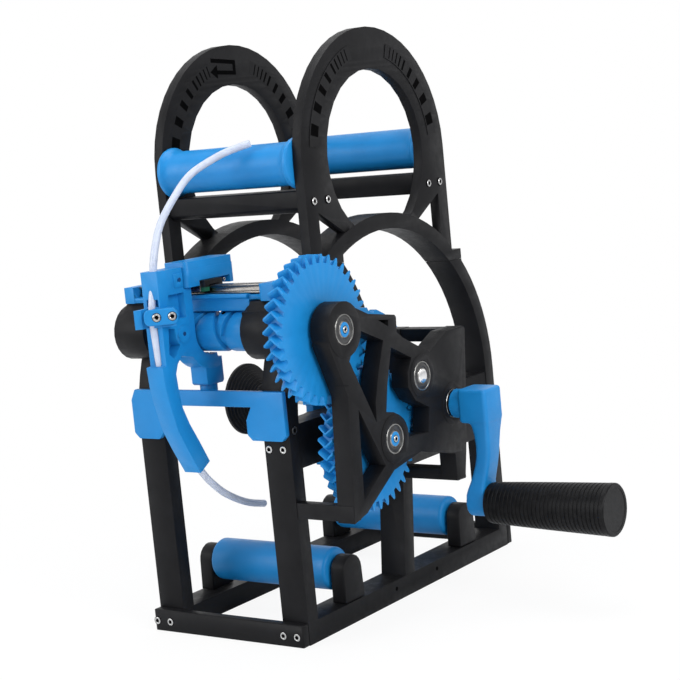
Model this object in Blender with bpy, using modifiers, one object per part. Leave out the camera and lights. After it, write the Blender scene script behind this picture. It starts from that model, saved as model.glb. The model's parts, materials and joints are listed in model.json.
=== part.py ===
"""Hand-cranked filament spool winder.

Two arched side frames stand on a low base. Four rollers carry a full spool, and a cranked
shaft turns the empty one. Three herringbone gears drive a crossed-groove cam drum, which
moves the filament guide to and fro along a miniature linear rail.

Metres, +Z up. X runs across the machine towards the crank and Y from its front to its back.
Pieces are drawn about a line on the floor under the ring centres. One empty carries them all,
so that the origin is the middle of the front base bar's underside.
"""
import math

import bmesh
import bpy
from mathutils import Matrix, Vector

# Clearances and edges
SEAT = 0.0003
RUNNING_GAP = 0.0006
WELD = 0.000001
MERGE = 0.00002
SMALL_EDGE = 0.0006
SOFT_EDGE = 0.0015
WHOLE_SHARE = 1.0
HALF_SHARE = 0.5

# Side frames: an arch on two straight legs, with a beam between the feet
FRAME_WIDTH = 0.140
SIDE_THICKNESS = 0.023
RING_RADIUS = 0.1415
RING_BAND = 0.012
BASE_HEIGHT = 0.016
SEAM_RISE = 0.0945
LEDGE_RISE = 0.1025
LEDGE_INNER = 0.095
LEDGE_OUTER = 0.107
FRAME_SET_BACK = 0.0004
HALF_WIDTH = FRAME_WIDTH / 2
INNER_X = HALF_WIDTH - SIDE_THICKNESS
RING_INNER = RING_RADIUS - RING_BAND
RING_Z = RING_RADIUS + RING_BAND
SEAM_Z = RING_Z + SEAM_RISE
LEDGE_TOP = RING_Z + LEDGE_RISE

# Base bars across the front and the back
BAR_THICKNESS = 0.0072
BAR_HEIGHT = 0.0166

# Upper frames: a thin arch plate over the top of the ring
UPPER_THICKNESS = 0.0085
ARCH_RISE = 0.0455
ARCH_RADIUS = 0.0945
OPENING_RADIUS = 0.0635
POST_INNER = 0.081
WINDOW_TOP_DROP = 0.0372
STRUT_FOOT_Y = 0.050
SLOT_LENGTH = 0.009
SLOT_WIDTH = 0.0024
SLOT_COUNT = 9
SLOT_FIRST_ANGLE = 22.0
SLOT_STEP_ANGLE = 7.0
ARCH_Z = RING_Z + RING_RADIUS + ARCH_RISE

# Crossbars that join the upper frames
CROSSBAR_INNER = 0.060
CROSSBAR_OUTER = 0.093
CROSSBAR_TOP_DROP = 0.0200
CROSSBAR_HEIGHT = 0.0160
CROSSBAR_LIP = 0.0035
CROSSBAR_CHAMFER = 0.004
CROSSBAR_TOP = ARCH_Z - CROSSBAR_TOP_DROP
CROSSBAR_BOTTOM = CROSSBAR_TOP - CROSSBAR_HEIGHT

# Rollers and the brackets of the lower ones
TOP_ROLLER_Y = 0.084
TOP_ROLLER_DROP = 0.0005
LOW_ROLLER_Y = 0.081
LOW_ROLLER_Z = 0.039
ROLLER_RADIUS = 0.016
ROLLER_BORE = 0.0043
ROLLER_FLANGE_RADIUS = 0.019
ROLLER_FLANGE_WIDTH = 0.004
ROLLER_CHAMFER = 0.0012
AXLE_RADIUS = 0.004
BRACKET_SET_BACK = 0.0008
BRACKET_WIDTH = 0.0122
BRACKET_GAP = 0.0025
BRACKET_RADIUS = 0.0115
BRACKET_FOOT = 0.0125
TOP_ROLLER_Z = ARCH_Z - TOP_ROLLER_DROP
BRACKET_OUTER_X = HALF_WIDTH - BRACKET_SET_BACK
BRACKET_INNER_X = BRACKET_OUTER_X - BRACKET_WIDTH
LOW_ROLLER_HALF = BRACKET_INNER_X - BRACKET_GAP

# Gear train, and the sleeve that each gear is pressed on
CRANK_Y = -0.002
CRANK_DROP = 0.0035
DRUM_INSET = 0.009
DRUM_RISE = 0.0727
MODULE = 0.00275
LARGE_TEETH = 36
SMALL_TEETH = 24
PRESSURE_ANGLE = 20.0
HELIX_ANGLE = 38.0
BACKLASH = 0.0005
ADDENDUM_SHARE = 1.0
DEDENDUM_SHARE = 1.25
GEAR_STAND_OFF = 0.0197
GEAR_WIDTH = 0.0125
SLEEVE_RADIUS = 0.0105
SLEEVE_BORE = 0.0043
CRANK_Z = RING_Z - CRANK_DROP
DRUM_Y = DRUM_INSET - RING_RADIUS
DRUM_Z = RING_Z + DRUM_RISE
PITCH_LARGE = MODULE * LARGE_TEETH / 2
PITCH_SMALL = MODULE * SMALL_TEETH / 2
GEAR_START_X = HALF_WIDTH + GEAR_STAND_OFF
GEAR_END_X = GEAR_START_X + GEAR_WIDTH
GEAR_MIDDLE_X = (GEAR_START_X + GEAR_END_X) / 2

# Outer gear plate and the bars that hold it off the side frame
PLATE_STAND_OFF = 0.035
PLATE_THICKNESS = 0.015
PLATE_SPAN_SHARE = 1.3235
BOSS_RADIUS = 0.0195
CRANK_BOSS_RADIUS = 0.0165
IDLER_BOSS_RADIUS = 0.0175
SPARE_BOSS_RADIUS = 0.0160
PLATE_START_X = HALF_WIDTH + PLATE_STAND_OFF
PLATE_END_X = PLATE_START_X + PLATE_THICKNESS
PLATE_SPAN = math.hypot(DRUM_Y - CRANK_Y, DRUM_Z - CRANK_Z) * PLATE_SPAN_SHARE
SPACER_START_X = HALF_WIDTH + SEAT

# Bearings: 22 mm outside, 8 mm bore, 7 mm wide
BEARING_RADIUS = 0.011
BEARING_BORE = 0.004
BEARING_WIDTH = 0.007
BEARING_GROOVE = 0.0005
BEARING_RACE_SHARE = 0.82
BEARING_CORE_SHARE = 0.30

# Cam drum and the housings at its ends
DRUM_RADIUS = 0.0147
DRUM_END_GAP = 0.0005
HOUSING_RADIUS = 0.0205
HOUSING_LEFT_REACH = 0.0050
HOUSING_RIGHT_REACH = 0.0025
HOUSING_SHOULDER_HALF = 0.0165
HOUSING_SHOULDER_RISE = 0.0153
SADDLE_FOOT_HALF = 0.0180
SADDLE_FOOT_RISE = 0.0096
SADDLE_HALF = 0.0090
TRACK_MARGIN = 0.01425
TRACK_TURNS = 2.5
TRACK_START_ANGLE = 231.0
TRACK_WIDTH = 0.0048
TRACK_DEPTH = 0.0030
TRACK_STEPS = 14
HOUSING_LEFT_START_X = -HALF_WIDTH - HOUSING_LEFT_REACH
HOUSING_RIGHT_START_X = INNER_X - HOUSING_RIGHT_REACH
DRUM_START_X = DRUM_END_GAP - INNER_X
DRUM_END_X = HOUSING_RIGHT_START_X - DRUM_END_GAP
TRACK_CENTRE_X = (DRUM_START_X + DRUM_END_X) / 2
TRACK_HALF = (DRUM_END_X - DRUM_START_X) / 2 - TRACK_MARGIN

# Post, webs and bosses of the right side frame
MIDDLE_POST_FOOT_Y = -0.008
MIDDLE_POST_HEAD_Y = 0.0155
MIDDLE_POST_HALF = 0.0066
MIDDLE_POST_RISE = 0.0513
REAR_WEB_TOP_DROP = 0.0035
REAR_WEB_BOTTOM_DROP = 0.0550
FRONT_WEB_TOP_RISE = 0.0050
FRONT_WEB_BOTTOM_DROP = 0.0270
HUB_RADIUS = 0.0210
HUB_INNER_REACH = 0.0005
HUB_OUTER_REACH = 0.0025
IDLER_HOUSING_RADIUS = 0.0180
IDLER_INNER_REACH = 0.0030
IDLER_OUTER_REACH = 0.0180
HUB_START_X = INNER_X - HUB_INNER_REACH
HUB_END_X = HALF_WIDTH + HUB_OUTER_REACH
IDLER_HOUSING_START_X = INNER_X - IDLER_INNER_REACH
IDLER_HOUSING_END_X = HALF_WIDTH + IDLER_OUTER_REACH

# Shaft of the driven spool, with its flange, cone and wing nut
SHAFT_RADIUS = 0.004
SHAFT_CLEARANCE = 0.0003
FLANGE_RADIUS = 0.073
FLANGE_NOTCHES = 18
FLANGE_GAP = 0.0070
FLANGE_THICKNESS = 0.0065
FLANGE_HUB_RADIUS = 0.020
FLANGE_HUB_LENGTH = 0.0100
CONE_REACH = 0.0100
CONE_LENGTH = 0.0200
CONE_RADIUS = 0.032
CONE_TIP_RADIUS = 0.014
CONE_STEPS = 3
CONE_RIB = 0.0009
NUT_GAP = 0.0005
NUT_LENGTH = 0.0100
NUT_HUB_RADIUS = 0.0085
NUT_REACH = 0.0165
NUT_WING_WIDTH = 0.0115
NUT_WING_TIP = 0.0070
NUT_WING_THICKNESS = 0.0045
NUT_WING_ANGLE = 118.0
SHAFT_TIP_LENGTH = 0.0025
FLANGE_END_X = INNER_X - FLANGE_GAP
FLANGE_START_X = FLANGE_END_X - FLANGE_THICKNESS
FLANGE_HUB_START_X = FLANGE_START_X - FLANGE_HUB_LENGTH
CONE_START_X = -HALF_WIDTH - CONE_REACH
CONE_END_X = CONE_START_X + CONE_LENGTH
NUT_END_X = CONE_START_X - NUT_GAP
NUT_START_X = NUT_END_X - NUT_LENGTH
SHAFT_END_X = NUT_START_X - SHAFT_TIP_LENGTH

# Crank, its widths measured along X from the end of its hub and its heights from the shaft
CRANK_GAP = 0.0008
CRANK_HUB_RADIUS = 0.011
CRANK_BLOCK_OFFSET = 0.0092
CRANK_BLOCK_LENGTH = 0.0245
CRANK_BLOCK_HALF = 0.0125
CRANK_THROW = 0.075
CRANK_EYE_OFFSET = 0.0082
CRANK_EYE_LENGTH = 0.0160
CRANK_EYE_RADIUS = 0.0105
CRANK_BEND_DROP = 0.0588
CRANK_NECK_DROP = 0.0380
CRANK_NECK_OFFSET = 0.0192
CRANK_NECK_WIDTH = 0.0120
CRANK_WAIST_HALF = 0.0088
CRANK_BEND_OFFSET = 0.0117
CRANK_BEND_WIDTH = 0.0125
EYE_BORE = 0.0033
CRANK_HUB_START_X = PLATE_END_X + CRANK_GAP
CRANK_BLOCK_START_X = CRANK_HUB_START_X + CRANK_BLOCK_OFFSET
CRANK_BLOCK_END_X = CRANK_BLOCK_START_X + CRANK_BLOCK_LENGTH
CRANK_EYE_START_X = CRANK_HUB_START_X + CRANK_EYE_OFFSET
CRANK_EYE_END_X = CRANK_EYE_START_X + CRANK_EYE_LENGTH
CRANK_NECK_START_X = CRANK_HUB_START_X + CRANK_NECK_OFFSET
CRANK_NECK_END_X = CRANK_NECK_START_X + CRANK_NECK_WIDTH
CRANK_BEND_START_X = CRANK_HUB_START_X + CRANK_BEND_OFFSET
CRANK_BEND_END_X = CRANK_BEND_START_X + CRANK_BEND_WIDTH
CRANK_BEND_Z = CRANK_Z - CRANK_BEND_DROP
CRANK_NECK_Z = CRANK_Z - CRANK_NECK_DROP

# Grip on the crank and the bolt that it turns on
GRIP_GAP = 0.0007
GRIP_LENGTH = 0.1013
GRIP_START_RADIUS = 0.0152
GRIP_END_RADIUS = 0.0193
GRIP_RIBS = 3
GRIP_RIB_DEPTH = 0.0007
GRIP_BORE = 0.0034
GRIP_BORE_DEPTH = 0.0600
GRIP_BOLT_RADIUS = 0.0030
BOLT_HEAD_RADIUS = 0.0048
BOLT_HEAD_LENGTH = 0.0028
GRIP_START_X = CRANK_EYE_END_X + GRIP_GAP
GRIP_END_X = GRIP_START_X + GRIP_LENGTH
GRIP_Z = CRANK_Z - CRANK_THROW

# Beam over the drum, with heights measured from the drum's axis
BEAM_BOTTOM_RISE = 0.0162
BEAM_FLANGE_RISE = 0.0234
BEAM_FLANGE_CHAMFER = 0.0014
BEAM_TOP_RISE = 0.0270
BEAM_BODY_HALF = 0.0060
BEAM_FLANGE_HALF = 0.0085
BEAM_BLOCK_HALF = 0.0110
BEAM_BLOCK_BOTTOM_RISE = 0.0222
BEAM_BLOCK_TOP_RISE = 0.0341
BEAM_BLOCK_CHAMFER = 0.0040
BEAM_LEFT_INSET = 0.0010
BEAM_RIGHT_REACH = 0.0016
BEAM_LEFT_BLOCK_LENGTH = 0.0090
BEAM_RIGHT_BLOCK_INSET = 0.0080
BEAM_SHELF_INSET = 0.0010
BEAM_SHELF_RISE = 0.0260
BEAM_BOTTOM_Z = DRUM_Z + BEAM_BOTTOM_RISE
BEAM_FLANGE_Z = DRUM_Z + BEAM_FLANGE_RISE
BEAM_TOP_Z = DRUM_Z + BEAM_TOP_RISE
BEAM_BLOCK_BOTTOM_Z = DRUM_Z + BEAM_BLOCK_BOTTOM_RISE
BEAM_BLOCK_TOP_Z = DRUM_Z + BEAM_BLOCK_TOP_RISE
BEAM_START_X = BEAM_LEFT_INSET - HALF_WIDTH
BEAM_END_X = HALF_WIDTH + BEAM_RIGHT_REACH
BEAM_BLOCK_LEFT_X = BEAM_START_X + BEAM_LEFT_BLOCK_LENGTH
BEAM_BLOCK_RIGHT_X = INNER_X + BEAM_RIGHT_BLOCK_INSET
BEAM_SHELF_END_X = -INNER_X - BEAM_SHELF_INSET

# Linear rail and the runner block on it
RAIL_HALF = 0.0045
RAIL_WAIST_HALF = 0.0035
RAIL_HEIGHT = 0.0065
RAIL_END_GAP = 0.0005
RUNNER_HALF_WIDTH = 0.010
RUNNER_HALF_LENGTH = 0.0150
RUNNER_BOTTOM_RISE = 0.0298
RUNNER_HEIGHT = 0.0080
RUNNER_CAP_LENGTH = 0.0042
RUNNER_GROOVE_GAP = 0.0005
RAIL_BASE_Z = BEAM_TOP_Z + SEAT
RAIL_TOP_Z = RAIL_BASE_Z + RAIL_HEIGHT
RUNNER_BOTTOM_Z = DRUM_Z + RUNNER_BOTTOM_RISE
RUNNER_TOP_Z = RUNNER_BOTTOM_Z + RUNNER_HEIGHT

# Carriage: its outline and recesses are tables of shares about the drum's axis
CARRIAGE_X = -0.0065
CARRIAGE_HALF = 0.0075
CARRIAGE_SPAN = 0.100
COLLAR_INNER_RADIUS = 0.0168
COLLAR_OUTER_RADIUS = 0.0270
COLLAR_START_ANGLE = 215.0
COLLAR_END_ANGLE = 285.0
RECESS_DEPTH = 0.0060
HOLLOW_DEPTH = 0.0090
PAD_HALF = 0.0048
PAD_RADIUS = 0.0065
PAD_RISE = 0.0007
PAD_HOLE_RADIUS = 0.0014
PAD_HOLE_DEPTH = 0.0060
NOTCH_LEFT = 0.0044
NOTCH_RIGHT = 0.0062
NOTCH_BOTTOM_RISE = 0.0248
NOTCH_TOP_RISE = 0.0298
NOTCH_DEPTH = 0.0032
GROOVE_HALF = 0.0031
GROOVE_REACH = 0.0140
GROOVE_DROP = 0.0163
FOLLOWER_HALF_X = 0.0073
FOLLOWER_HALF_Y = 0.0094
FOLLOWER_BORE = 0.0045
FOLLOWER_HOUSING_DROP = 0.0387
FOLLOWER_HOUSING_HEIGHT = 0.0190
FOLLOWER_NECK_RADIUS = 0.0065
FOLLOWER_CAP_LENGTH = 0.0075
FOLLOWER_PIN_RADIUS = 0.0040
FOLLOWER_BLADE_RADIUS = 0.0018
FOLLOWER_BLADE_GAP = 0.0012
FOLLOWER_HOUSING_BOTTOM_Z = DRUM_Z - FOLLOWER_HOUSING_DROP
FOLLOWER_HOUSING_TOP_Z = FOLLOWER_HOUSING_BOTTOM_Z + FOLLOWER_HOUSING_HEIGHT

# Cover over the runner
COVER_HALF = 0.0110
COVER_CORNER = 0.0035
COVER_FRONT_REACH = 0.0240
COVER_BACK_REACH = 0.0295
COVER_FRONT_SKIRT = 0.0132
COVER_BACK_SKIRT = 0.0060
COVER_TOP_RISE = 0.0523
COVER_SEAM_RISE = 0.0470
COVER_FRONT_SKIRT_RISE = 0.0344
COVER_BACK_SKIRT_RISE = 0.0327
COVER_LID_INSET = 0.00035
COVER_HOLE_RADIUS = 0.0028
COVER_HOLE_DEPTH = 0.0032
COVER_HOLE_REACH = 0.0135

# Clamp plate over the tube, turned to face the front right, and its seat on the carriage
CLAMP_ANGLE = 39.73
CLAMP_HALF = 0.0120
CLAMP_THICKNESS = 0.0040
CLAMP_RISE = 0.0180
CLAMP_HALF_HEIGHT = 0.0058
CLAMP_SEAT_LOW_RISE = 0.0103
CLAMP_SEAT_HIGH_RISE = 0.0238
TUBE_RADIUS = 0.0020
TUBE_BORE_GAP = 0.0003

# Gauge bar across the front legs
GAUGE_THICKNESS = 0.0040

# Facets
ROUND_STEPS = 24
FINE_STEPS = 28
SMALL_STEPS = 16
ARC_STEPS = 10

# Corners of the outer gear plate and its windows, as shares of its span from the crank axis
PLATE_SHARES = [
    (-0.698, -0.290), (-0.620, -0.270), (-0.430, -0.159), (-0.246, -0.130), (-0.200, -0.144),
    (-0.080, -0.174), (-0.020, -0.188), (-0.020, -0.292), (0.037, -0.295), (0.060, -0.190),
    (0.090, 0.000), (0.122, 0.267), (0.110, 0.277), (-0.005, 0.275), (-0.082, 0.242),
    (-0.134, 0.217), (-0.241, 0.268), (-0.300, 0.297), (-0.336, 0.322), (-0.332, 0.377),
    (-0.341, 0.386), (-0.503, 0.413), (-0.635, 0.470), (-0.735, 0.400), (-0.750, 0.340), (-0.668, 0.150),
]
WINDOW_SHARES = [
    [(-0.572, 0.368), (-0.426, 0.307), (-0.473, 0.200), (-0.507, 0.100), (-0.512, 0.029),
     (-0.640, 0.268)],
    [(-0.614, 0.096), (-0.482, -0.131), (-0.630, -0.223)],
    [(-0.447, 0.383), (-0.382, 0.374), (-0.386, 0.351)],
    [(-0.381, 0.275), (-0.257, 0.217), (-0.290, 0.170), (-0.294, 0.112), (-0.255, 0.060),
     (-0.168, 0.018), (-0.189, -0.072), (-0.256, -0.065), (-0.323, -0.062), (-0.335, -0.015),
     (-0.367, 0.028), (-0.403, 0.045), (-0.447, 0.054), (-0.425, 0.147)],
]
SPARE_SHARES = [(-0.1975, 0.1395)]
# Each bar from the plate to the side frame: its middle, then half its depth and height
PLATE_BAR_SHARES = {
    "front_foot": (-0.6765, -0.2575, 0.0200, 0.0275),
    "rear_head": (0.0875, 0.2490, 0.0310, 0.0240),
    "rear_foot": (0.0150, -0.2725, 0.0290, 0.0215),
}

# Rim of the spool flange: how far round each step of a notch, and its share of the radius
FLANGE_NOTCH_SHARES = [(0.0, 1.0), (0.5, 1.0), (0.62, 0.957), (0.88, 0.957)]
# One rib of the grip: how far back from its end, and its share of the rib's depth
GRIP_RIB_SHARES = [(0.10, 0.0), (0.25, 1.0), (0.40, 0.0)]

# Side view of the carriage from the top of its front down the guide arm to the collar
CARRIAGE_SHARES = [
    (-0.515, 0.493), (-0.515, -0.172), (-0.560, -0.177), (-0.547, -0.334), (-0.523, -0.446),
    (-0.469, -0.636), (-0.386, -0.798), (-0.274, -0.990), (-0.163, -0.927), (-0.249, -0.769),
    (-0.335, -0.620), (-0.391, -0.493), (-0.413, -0.359), (-0.422, -0.243), (-0.393, -0.175),
    (-0.341, -0.128),
]
SHOULDER_SHARES = [(-0.168, 0.341), (-0.248, 0.341), (-0.248, 0.493)]
RECESS_SHARES = [(-0.418, 0.138), (-0.250, 0.138), (-0.250, 0.316), (-0.418, 0.316)]
HOLLOW_SHARES = [
    (-0.451, 0.082), (-0.387, 0.076), (-0.381, -0.002), (-0.343, -0.048), (-0.420, -0.137),
    (-0.471, -0.097),
]
UPPER_PAD_SHARES = [(-0.301, 0.407)]
LOWER_PAD_SHARES = [(-0.294, 0.023)]
# Plan of the clamp's seat and the middle of the clamp, about the carriage's middle
CLAMP_SEAT_SHARES = [(-0.071, -0.475), (-0.071, -0.6322), (0.150, -0.4485), (0.071, -0.425)]
CLAMP_SHARES = [(0.0876, -0.5302)]

# Front view of the gauge bar, as shares of half the frame's width about the ring centre
GAUGE_SHARES = [
    (-0.971, -0.086), (-0.686, -0.086), (-0.629, -0.029), (-0.629, 0.279), (0.586, 0.279),
    (0.514, 0.143), (0.514, -0.007), (0.571, -0.064), (0.950, -0.064), (1.007, -0.007),
    (1.007, 0.443), (-0.971, 0.443), (-1.029, 0.329), (-1.029, -0.029),
]

# Route of the white tube: its place across the machine, then its reach from the drum's axis
UPPER_ROUTE = [
    (-0.0065, -0.0455, 0.0535), (-0.0065, -0.0420, 0.0643), (-0.0067, -0.0335, 0.0806),
    (-0.0062, -0.0165, 0.0980), (-0.0033, 0.0005, 0.1129), (0.0076, 0.0165, 0.1230),
    (0.0159, 0.0260, 0.1276), (0.0280, 0.0335, 0.1311),
]
LOWER_ROUTE = [
    (-0.0065, -0.0213, -0.0966), (-0.0065, -0.0130, -0.1064), (-0.0066, -0.0060, -0.1130),
    (-0.0070, 0.0045, -0.1212), (-0.0076, 0.0185, -0.1292), (-0.0083, 0.0345, -0.1362),
    (-0.0090, 0.0525, -0.1412),
]
HELD_ROUTE = [
    (-0.0065, -0.0455, 0.0532), (-0.0065, -0.0470, 0.0438), (-0.0065, -0.0505, 0.0288),
    (-0.0065, -0.0523, 0.0168), (-0.0065, -0.0513, -0.0012), (-0.0065, -0.0497, -0.0212),
    (-0.0065, -0.0470, -0.0412), (-0.0065, -0.0403, -0.0622), (-0.0065, -0.0295, -0.0847),
    (-0.0065, -0.0215, -0.0963),
]


def clear_scene():
    for item in list(bpy.data.objects):
        bpy.data.objects.remove(item, do_unlink=True)


def make_collection(name):
    group = bpy.data.collections.new(name)
    bpy.context.scene.collection.children.link(group)
    return group


clear_scene()
PARTS = make_collection("filament_spool_winder")
CUTTERS = make_collection("cutters")


def make_material(name, colour, roughness, metallic):
    """Principled material in the piece's own colour."""
    found = bpy.data.materials.new(name)
    found.use_nodes = True
    shader = found.node_tree.nodes["Principled BSDF"]
    shader.inputs["Base Color"].default_value = (*colour, 1.0)
    shader.inputs["Roughness"].default_value = roughness
    shader.inputs["Metallic"].default_value = metallic
    found.diffuse_color = (*colour, 1.0)
    return found


BLACK = (0.020, 0.020, 0.022)
BLUE = (0.030, 0.270, 0.680)
STEEL = (0.560, 0.570, 0.580)
WHITE = (0.850, 0.860, 0.880)
GREEN = (0.020, 0.230, 0.110)
FINISHES = {
    "black_plastic": (BLACK, 0.62, 0.0),
    "blue_plastic": (BLUE, 0.45, 0.0),
    "bearing_steel": (STEEL, 0.28, 1.0),
    "rail_steel": (STEEL, 0.32, 1.0),
    "tube_plastic": (WHITE, 0.35, 0.0),
    "seal_plastic": (GREEN, 0.50, 0.0),
}


def finish(obj, kind):
    """Give an object its own copy of one of the finishes."""
    colour, roughness, metallic = FINISHES[kind]
    obj.data.materials.clear()
    obj.data.materials.append(make_material(obj.name + "_" + kind, colour, roughness, metallic))


def axis_turn(axis):
    """Rotation that takes a shape drawn along local Z to lie along a world axis."""
    if axis == "X":
        return Matrix(((0, 0, 1), (1, 0, 0), (0, 1, 0))).to_4x4()
    if axis == "Y":
        return Matrix(((1, 0, 0), (0, 0, -1), (0, 1, 0))).to_4x4()
    return Matrix.Identity(4)


def place(axis, along, across=(0.0, 0.0)):
    """Frame of a shape drawn in its own XY plane: along its axis, and across it."""
    if axis == "X":
        spot = Vector((along, across[0], across[1]))
    elif axis == "Y":
        spot = Vector((across[0], along, across[1]))
    else:
        spot = Vector((across[0], across[1], along))
    return Matrix.Translation(spot) @ axis_turn(axis)


def link_mesh(name, bm):
    bmesh.ops.recalc_face_normals(bm, faces=bm.faces)
    mesh = bpy.data.meshes.new(name)
    bm.to_mesh(mesh)
    bm.free()
    obj = bpy.data.objects.new(name, mesh)
    PARTS.objects.link(obj)
    return obj


def block(name, low, high, edge=0.0, segments=1):
    """Box between two corners, its edges cut off or rounded."""
    low, high = Vector(low), Vector(high)
    bm = bmesh.new()
    frame = Matrix.Translation((low + high) / 2) @ Matrix.Diagonal((*(high - low), 1.0))
    bmesh.ops.create_cube(bm, size=WHOLE_SHARE, matrix=frame)
    obj = link_mesh(name, bm)
    if edge:
        soften(obj, edge, segments)
    return obj


def rod(name, axis, centre, radius, start, end, steps=ROUND_STEPS, end_radius=None):
    """Round bar or cone between two places along an axis."""
    bm = bmesh.new()
    frame = place(axis, (start + end) / 2, centre)
    bmesh.ops.create_cone(
        bm, cap_ends=True, segments=steps, radius1=radius,
        radius2=radius if end_radius is None else end_radius,
        depth=abs(end - start), matrix=frame)
    return link_mesh(name, bm)


def baked(name, source):
    """Mesh object with the shape that a curve makes, its caps welded on."""
    bpy.context.view_layer.update()
    shape = source.evaluated_get(bpy.context.evaluated_depsgraph_get())
    mesh = bpy.data.meshes.new_from_object(shape)
    frame = source.matrix_world.copy()
    bpy.data.objects.remove(source, do_unlink=True)
    bm = bmesh.new()
    bm.from_mesh(mesh)
    bpy.data.meshes.remove(mesh)
    bmesh.ops.remove_doubles(bm, verts=bm.verts, dist=WELD)
    obj = link_mesh(name, bm)
    obj.matrix_world = frame
    return obj


def sheet(name, loops, axis, start, end):
    """Flat outline with holes, drawn across an axis and as thick as start to end."""
    curve = bpy.data.curves.new(name, "CURVE")
    curve.dimensions = "2D"
    curve.fill_mode = "BOTH"
    curve.extrude = abs(end - start) / 2
    for loop in loops:
        spline = curve.splines.new("POLY")
        spline.points.add(len(loop) - 1)
        for point, (u, v) in zip(spline.points, loop):
            point.co = (u, v, 0.0, 1.0)
        spline.use_cyclic_u = True
    source = bpy.data.objects.new(name, curve)
    PARTS.objects.link(source)
    source.matrix_world = place(axis, (start + end) / 2)
    return baked(name, source)


def turned(name, profile, axis, centre, steps=ROUND_STEPS, closed=False):
    """Turned shape: its profile lists (radius, place along the axis), far end first."""
    mesh = bpy.data.meshes.new(name)
    corners = [(radius, 0.0, along) for radius, along in profile]
    edges = [(i, i + 1) for i in range(len(corners) - 1)]
    if closed:
        edges.append((len(corners) - 1, 0))
    mesh.from_pydata(corners, edges, [])
    obj = bpy.data.objects.new(name, mesh)
    PARTS.objects.link(obj)
    obj.matrix_world = place(axis, 0.0, centre)
    screw = obj.modifiers.new("turn", "SCREW")
    screw.axis = "Z"
    screw.angle = math.tau
    screw.steps = steps
    screw.render_steps = steps
    screw.use_merge_vertices = True
    screw.merge_threshold = MERGE
    return obj


def wire(name, route, radius, resolution=2):
    """Round tube along a route, with flat ends."""
    curve = bpy.data.curves.new(name, "CURVE")
    curve.dimensions = "3D"
    curve.bevel_depth = radius
    curve.bevel_resolution = resolution
    curve.use_fill_caps = True
    spline = curve.splines.new("POLY")
    spline.points.add(len(route) - 1)
    for point, spot in zip(spline.points, route):
        point.co = (*spot, 1.0)
    obj = bpy.data.objects.new(name, curve)
    PARTS.objects.link(obj)
    return obj


def soften(obj, width, segments=1):
    bevel = obj.modifiers.new("edges", "BEVEL")
    bevel.width = width
    bevel.segments = segments
    bevel.limit_method = "ANGLE"
    return obj


def combine(obj, other, operation):
    """Boolean with a second object, which moves to the cutters."""
    step = obj.modifiers.new(other.name, "BOOLEAN")
    step.operation = operation
    step.solver = "EXACT"
    step.object = other
    PARTS.objects.unlink(other)
    CUTTERS.objects.link(other)
    other.hide_render = True
    other.display_type = "WIRE"


def cut(obj, *others):
    for other in others:
        combine(obj, other, "DIFFERENCE")


def join(obj, *others):
    for other in others:
        combine(obj, other, "UNION")


def set_origin(obj, spot):
    """Move the origin to a place on the joint's axis, with the shape left where it is."""
    shift = obj.matrix_world.inverted() @ Vector(spot)
    obj.data.transform(Matrix.Translation(-shift))
    obj.matrix_world = obj.matrix_world @ Matrix.Translation(shift)


def arc(centre, radius, start, end, steps=ARC_STEPS):
    """Points of an arc in an outline, angles in degrees."""
    points = []
    for i in range(steps + 1):
        angle = math.radians(start + (end - start) * i / steps)
        points.append((centre[0] + radius * math.cos(angle),
                       centre[1] + radius * math.sin(angle)))
    return points


def shares_at(table, centre, span):
    return [(centre[0] + u * span, centre[1] + v * span) for u, v in table]


def mirrored(points):
    """The same outline points reflected front to back, in the order that closes the loop."""
    return [(-u, v) for u, v in reversed(points)]


def smooth_route(points, spacing):
    """Places along a smooth curve through the route's points."""
    spots = [Vector(p) for p in points]
    ends = [spots[0] * 2 - spots[1]] + spots + [spots[-1] * 2 - spots[-2]]
    route = []
    for a, b, c, d in zip(ends, ends[1:], ends[2:], ends[3:]):
        pieces = max(1, round((c - b).length / spacing))
        for i in range(pieces):
            t = i / pieces
            bend = b * 2 + (c - a) * t
            bend += (a * 2 - b * 5 + c * 4 - d) * t ** 2
            bend += (b * 3 - a - c * 3 + d) * t ** 3
            route.append(bend / 2)
    route.append(spots[-1])
    return route


def ring_height(radius, reach):
    """Height of a circle about the ring centre at a distance in front of or behind it."""
    return RING_Z + math.sqrt(radius ** 2 - reach ** 2)


def ring_angle(radius, height):
    """Angle in degrees at which a circle about the ring centre reaches a height."""
    return math.degrees(math.asin((height - RING_Z) / radius))


def meeting_point(first, first_radius, second, second_radius, side):
    """Point where two circles cross, on one side of the line between their centres."""
    span = second - first
    length = span.length
    along = (first_radius ** 2 - second_radius ** 2 + length ** 2) / (2 * length)
    across = math.sqrt(first_radius ** 2 - along ** 2)
    ahead = span / length
    return first + ahead * along + Vector((-ahead.y, ahead.x)) * across * side


CRANK_AXIS = Vector((CRANK_Y, CRANK_Z))
DRUM_AXIS = Vector((DRUM_Y, DRUM_Z))
IDLER_AXIS = meeting_point(
    DRUM_AXIS, PITCH_LARGE * 2, CRANK_AXIS, PITCH_LARGE + PITCH_SMALL, -1)
SPARE_AXIS = Vector(shares_at(SPARE_SHARES, CRANK_AXIS, PLATE_SPAN)[0])
GRIP_AXIS = Vector((CRANK_Y, GRIP_Z))


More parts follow.
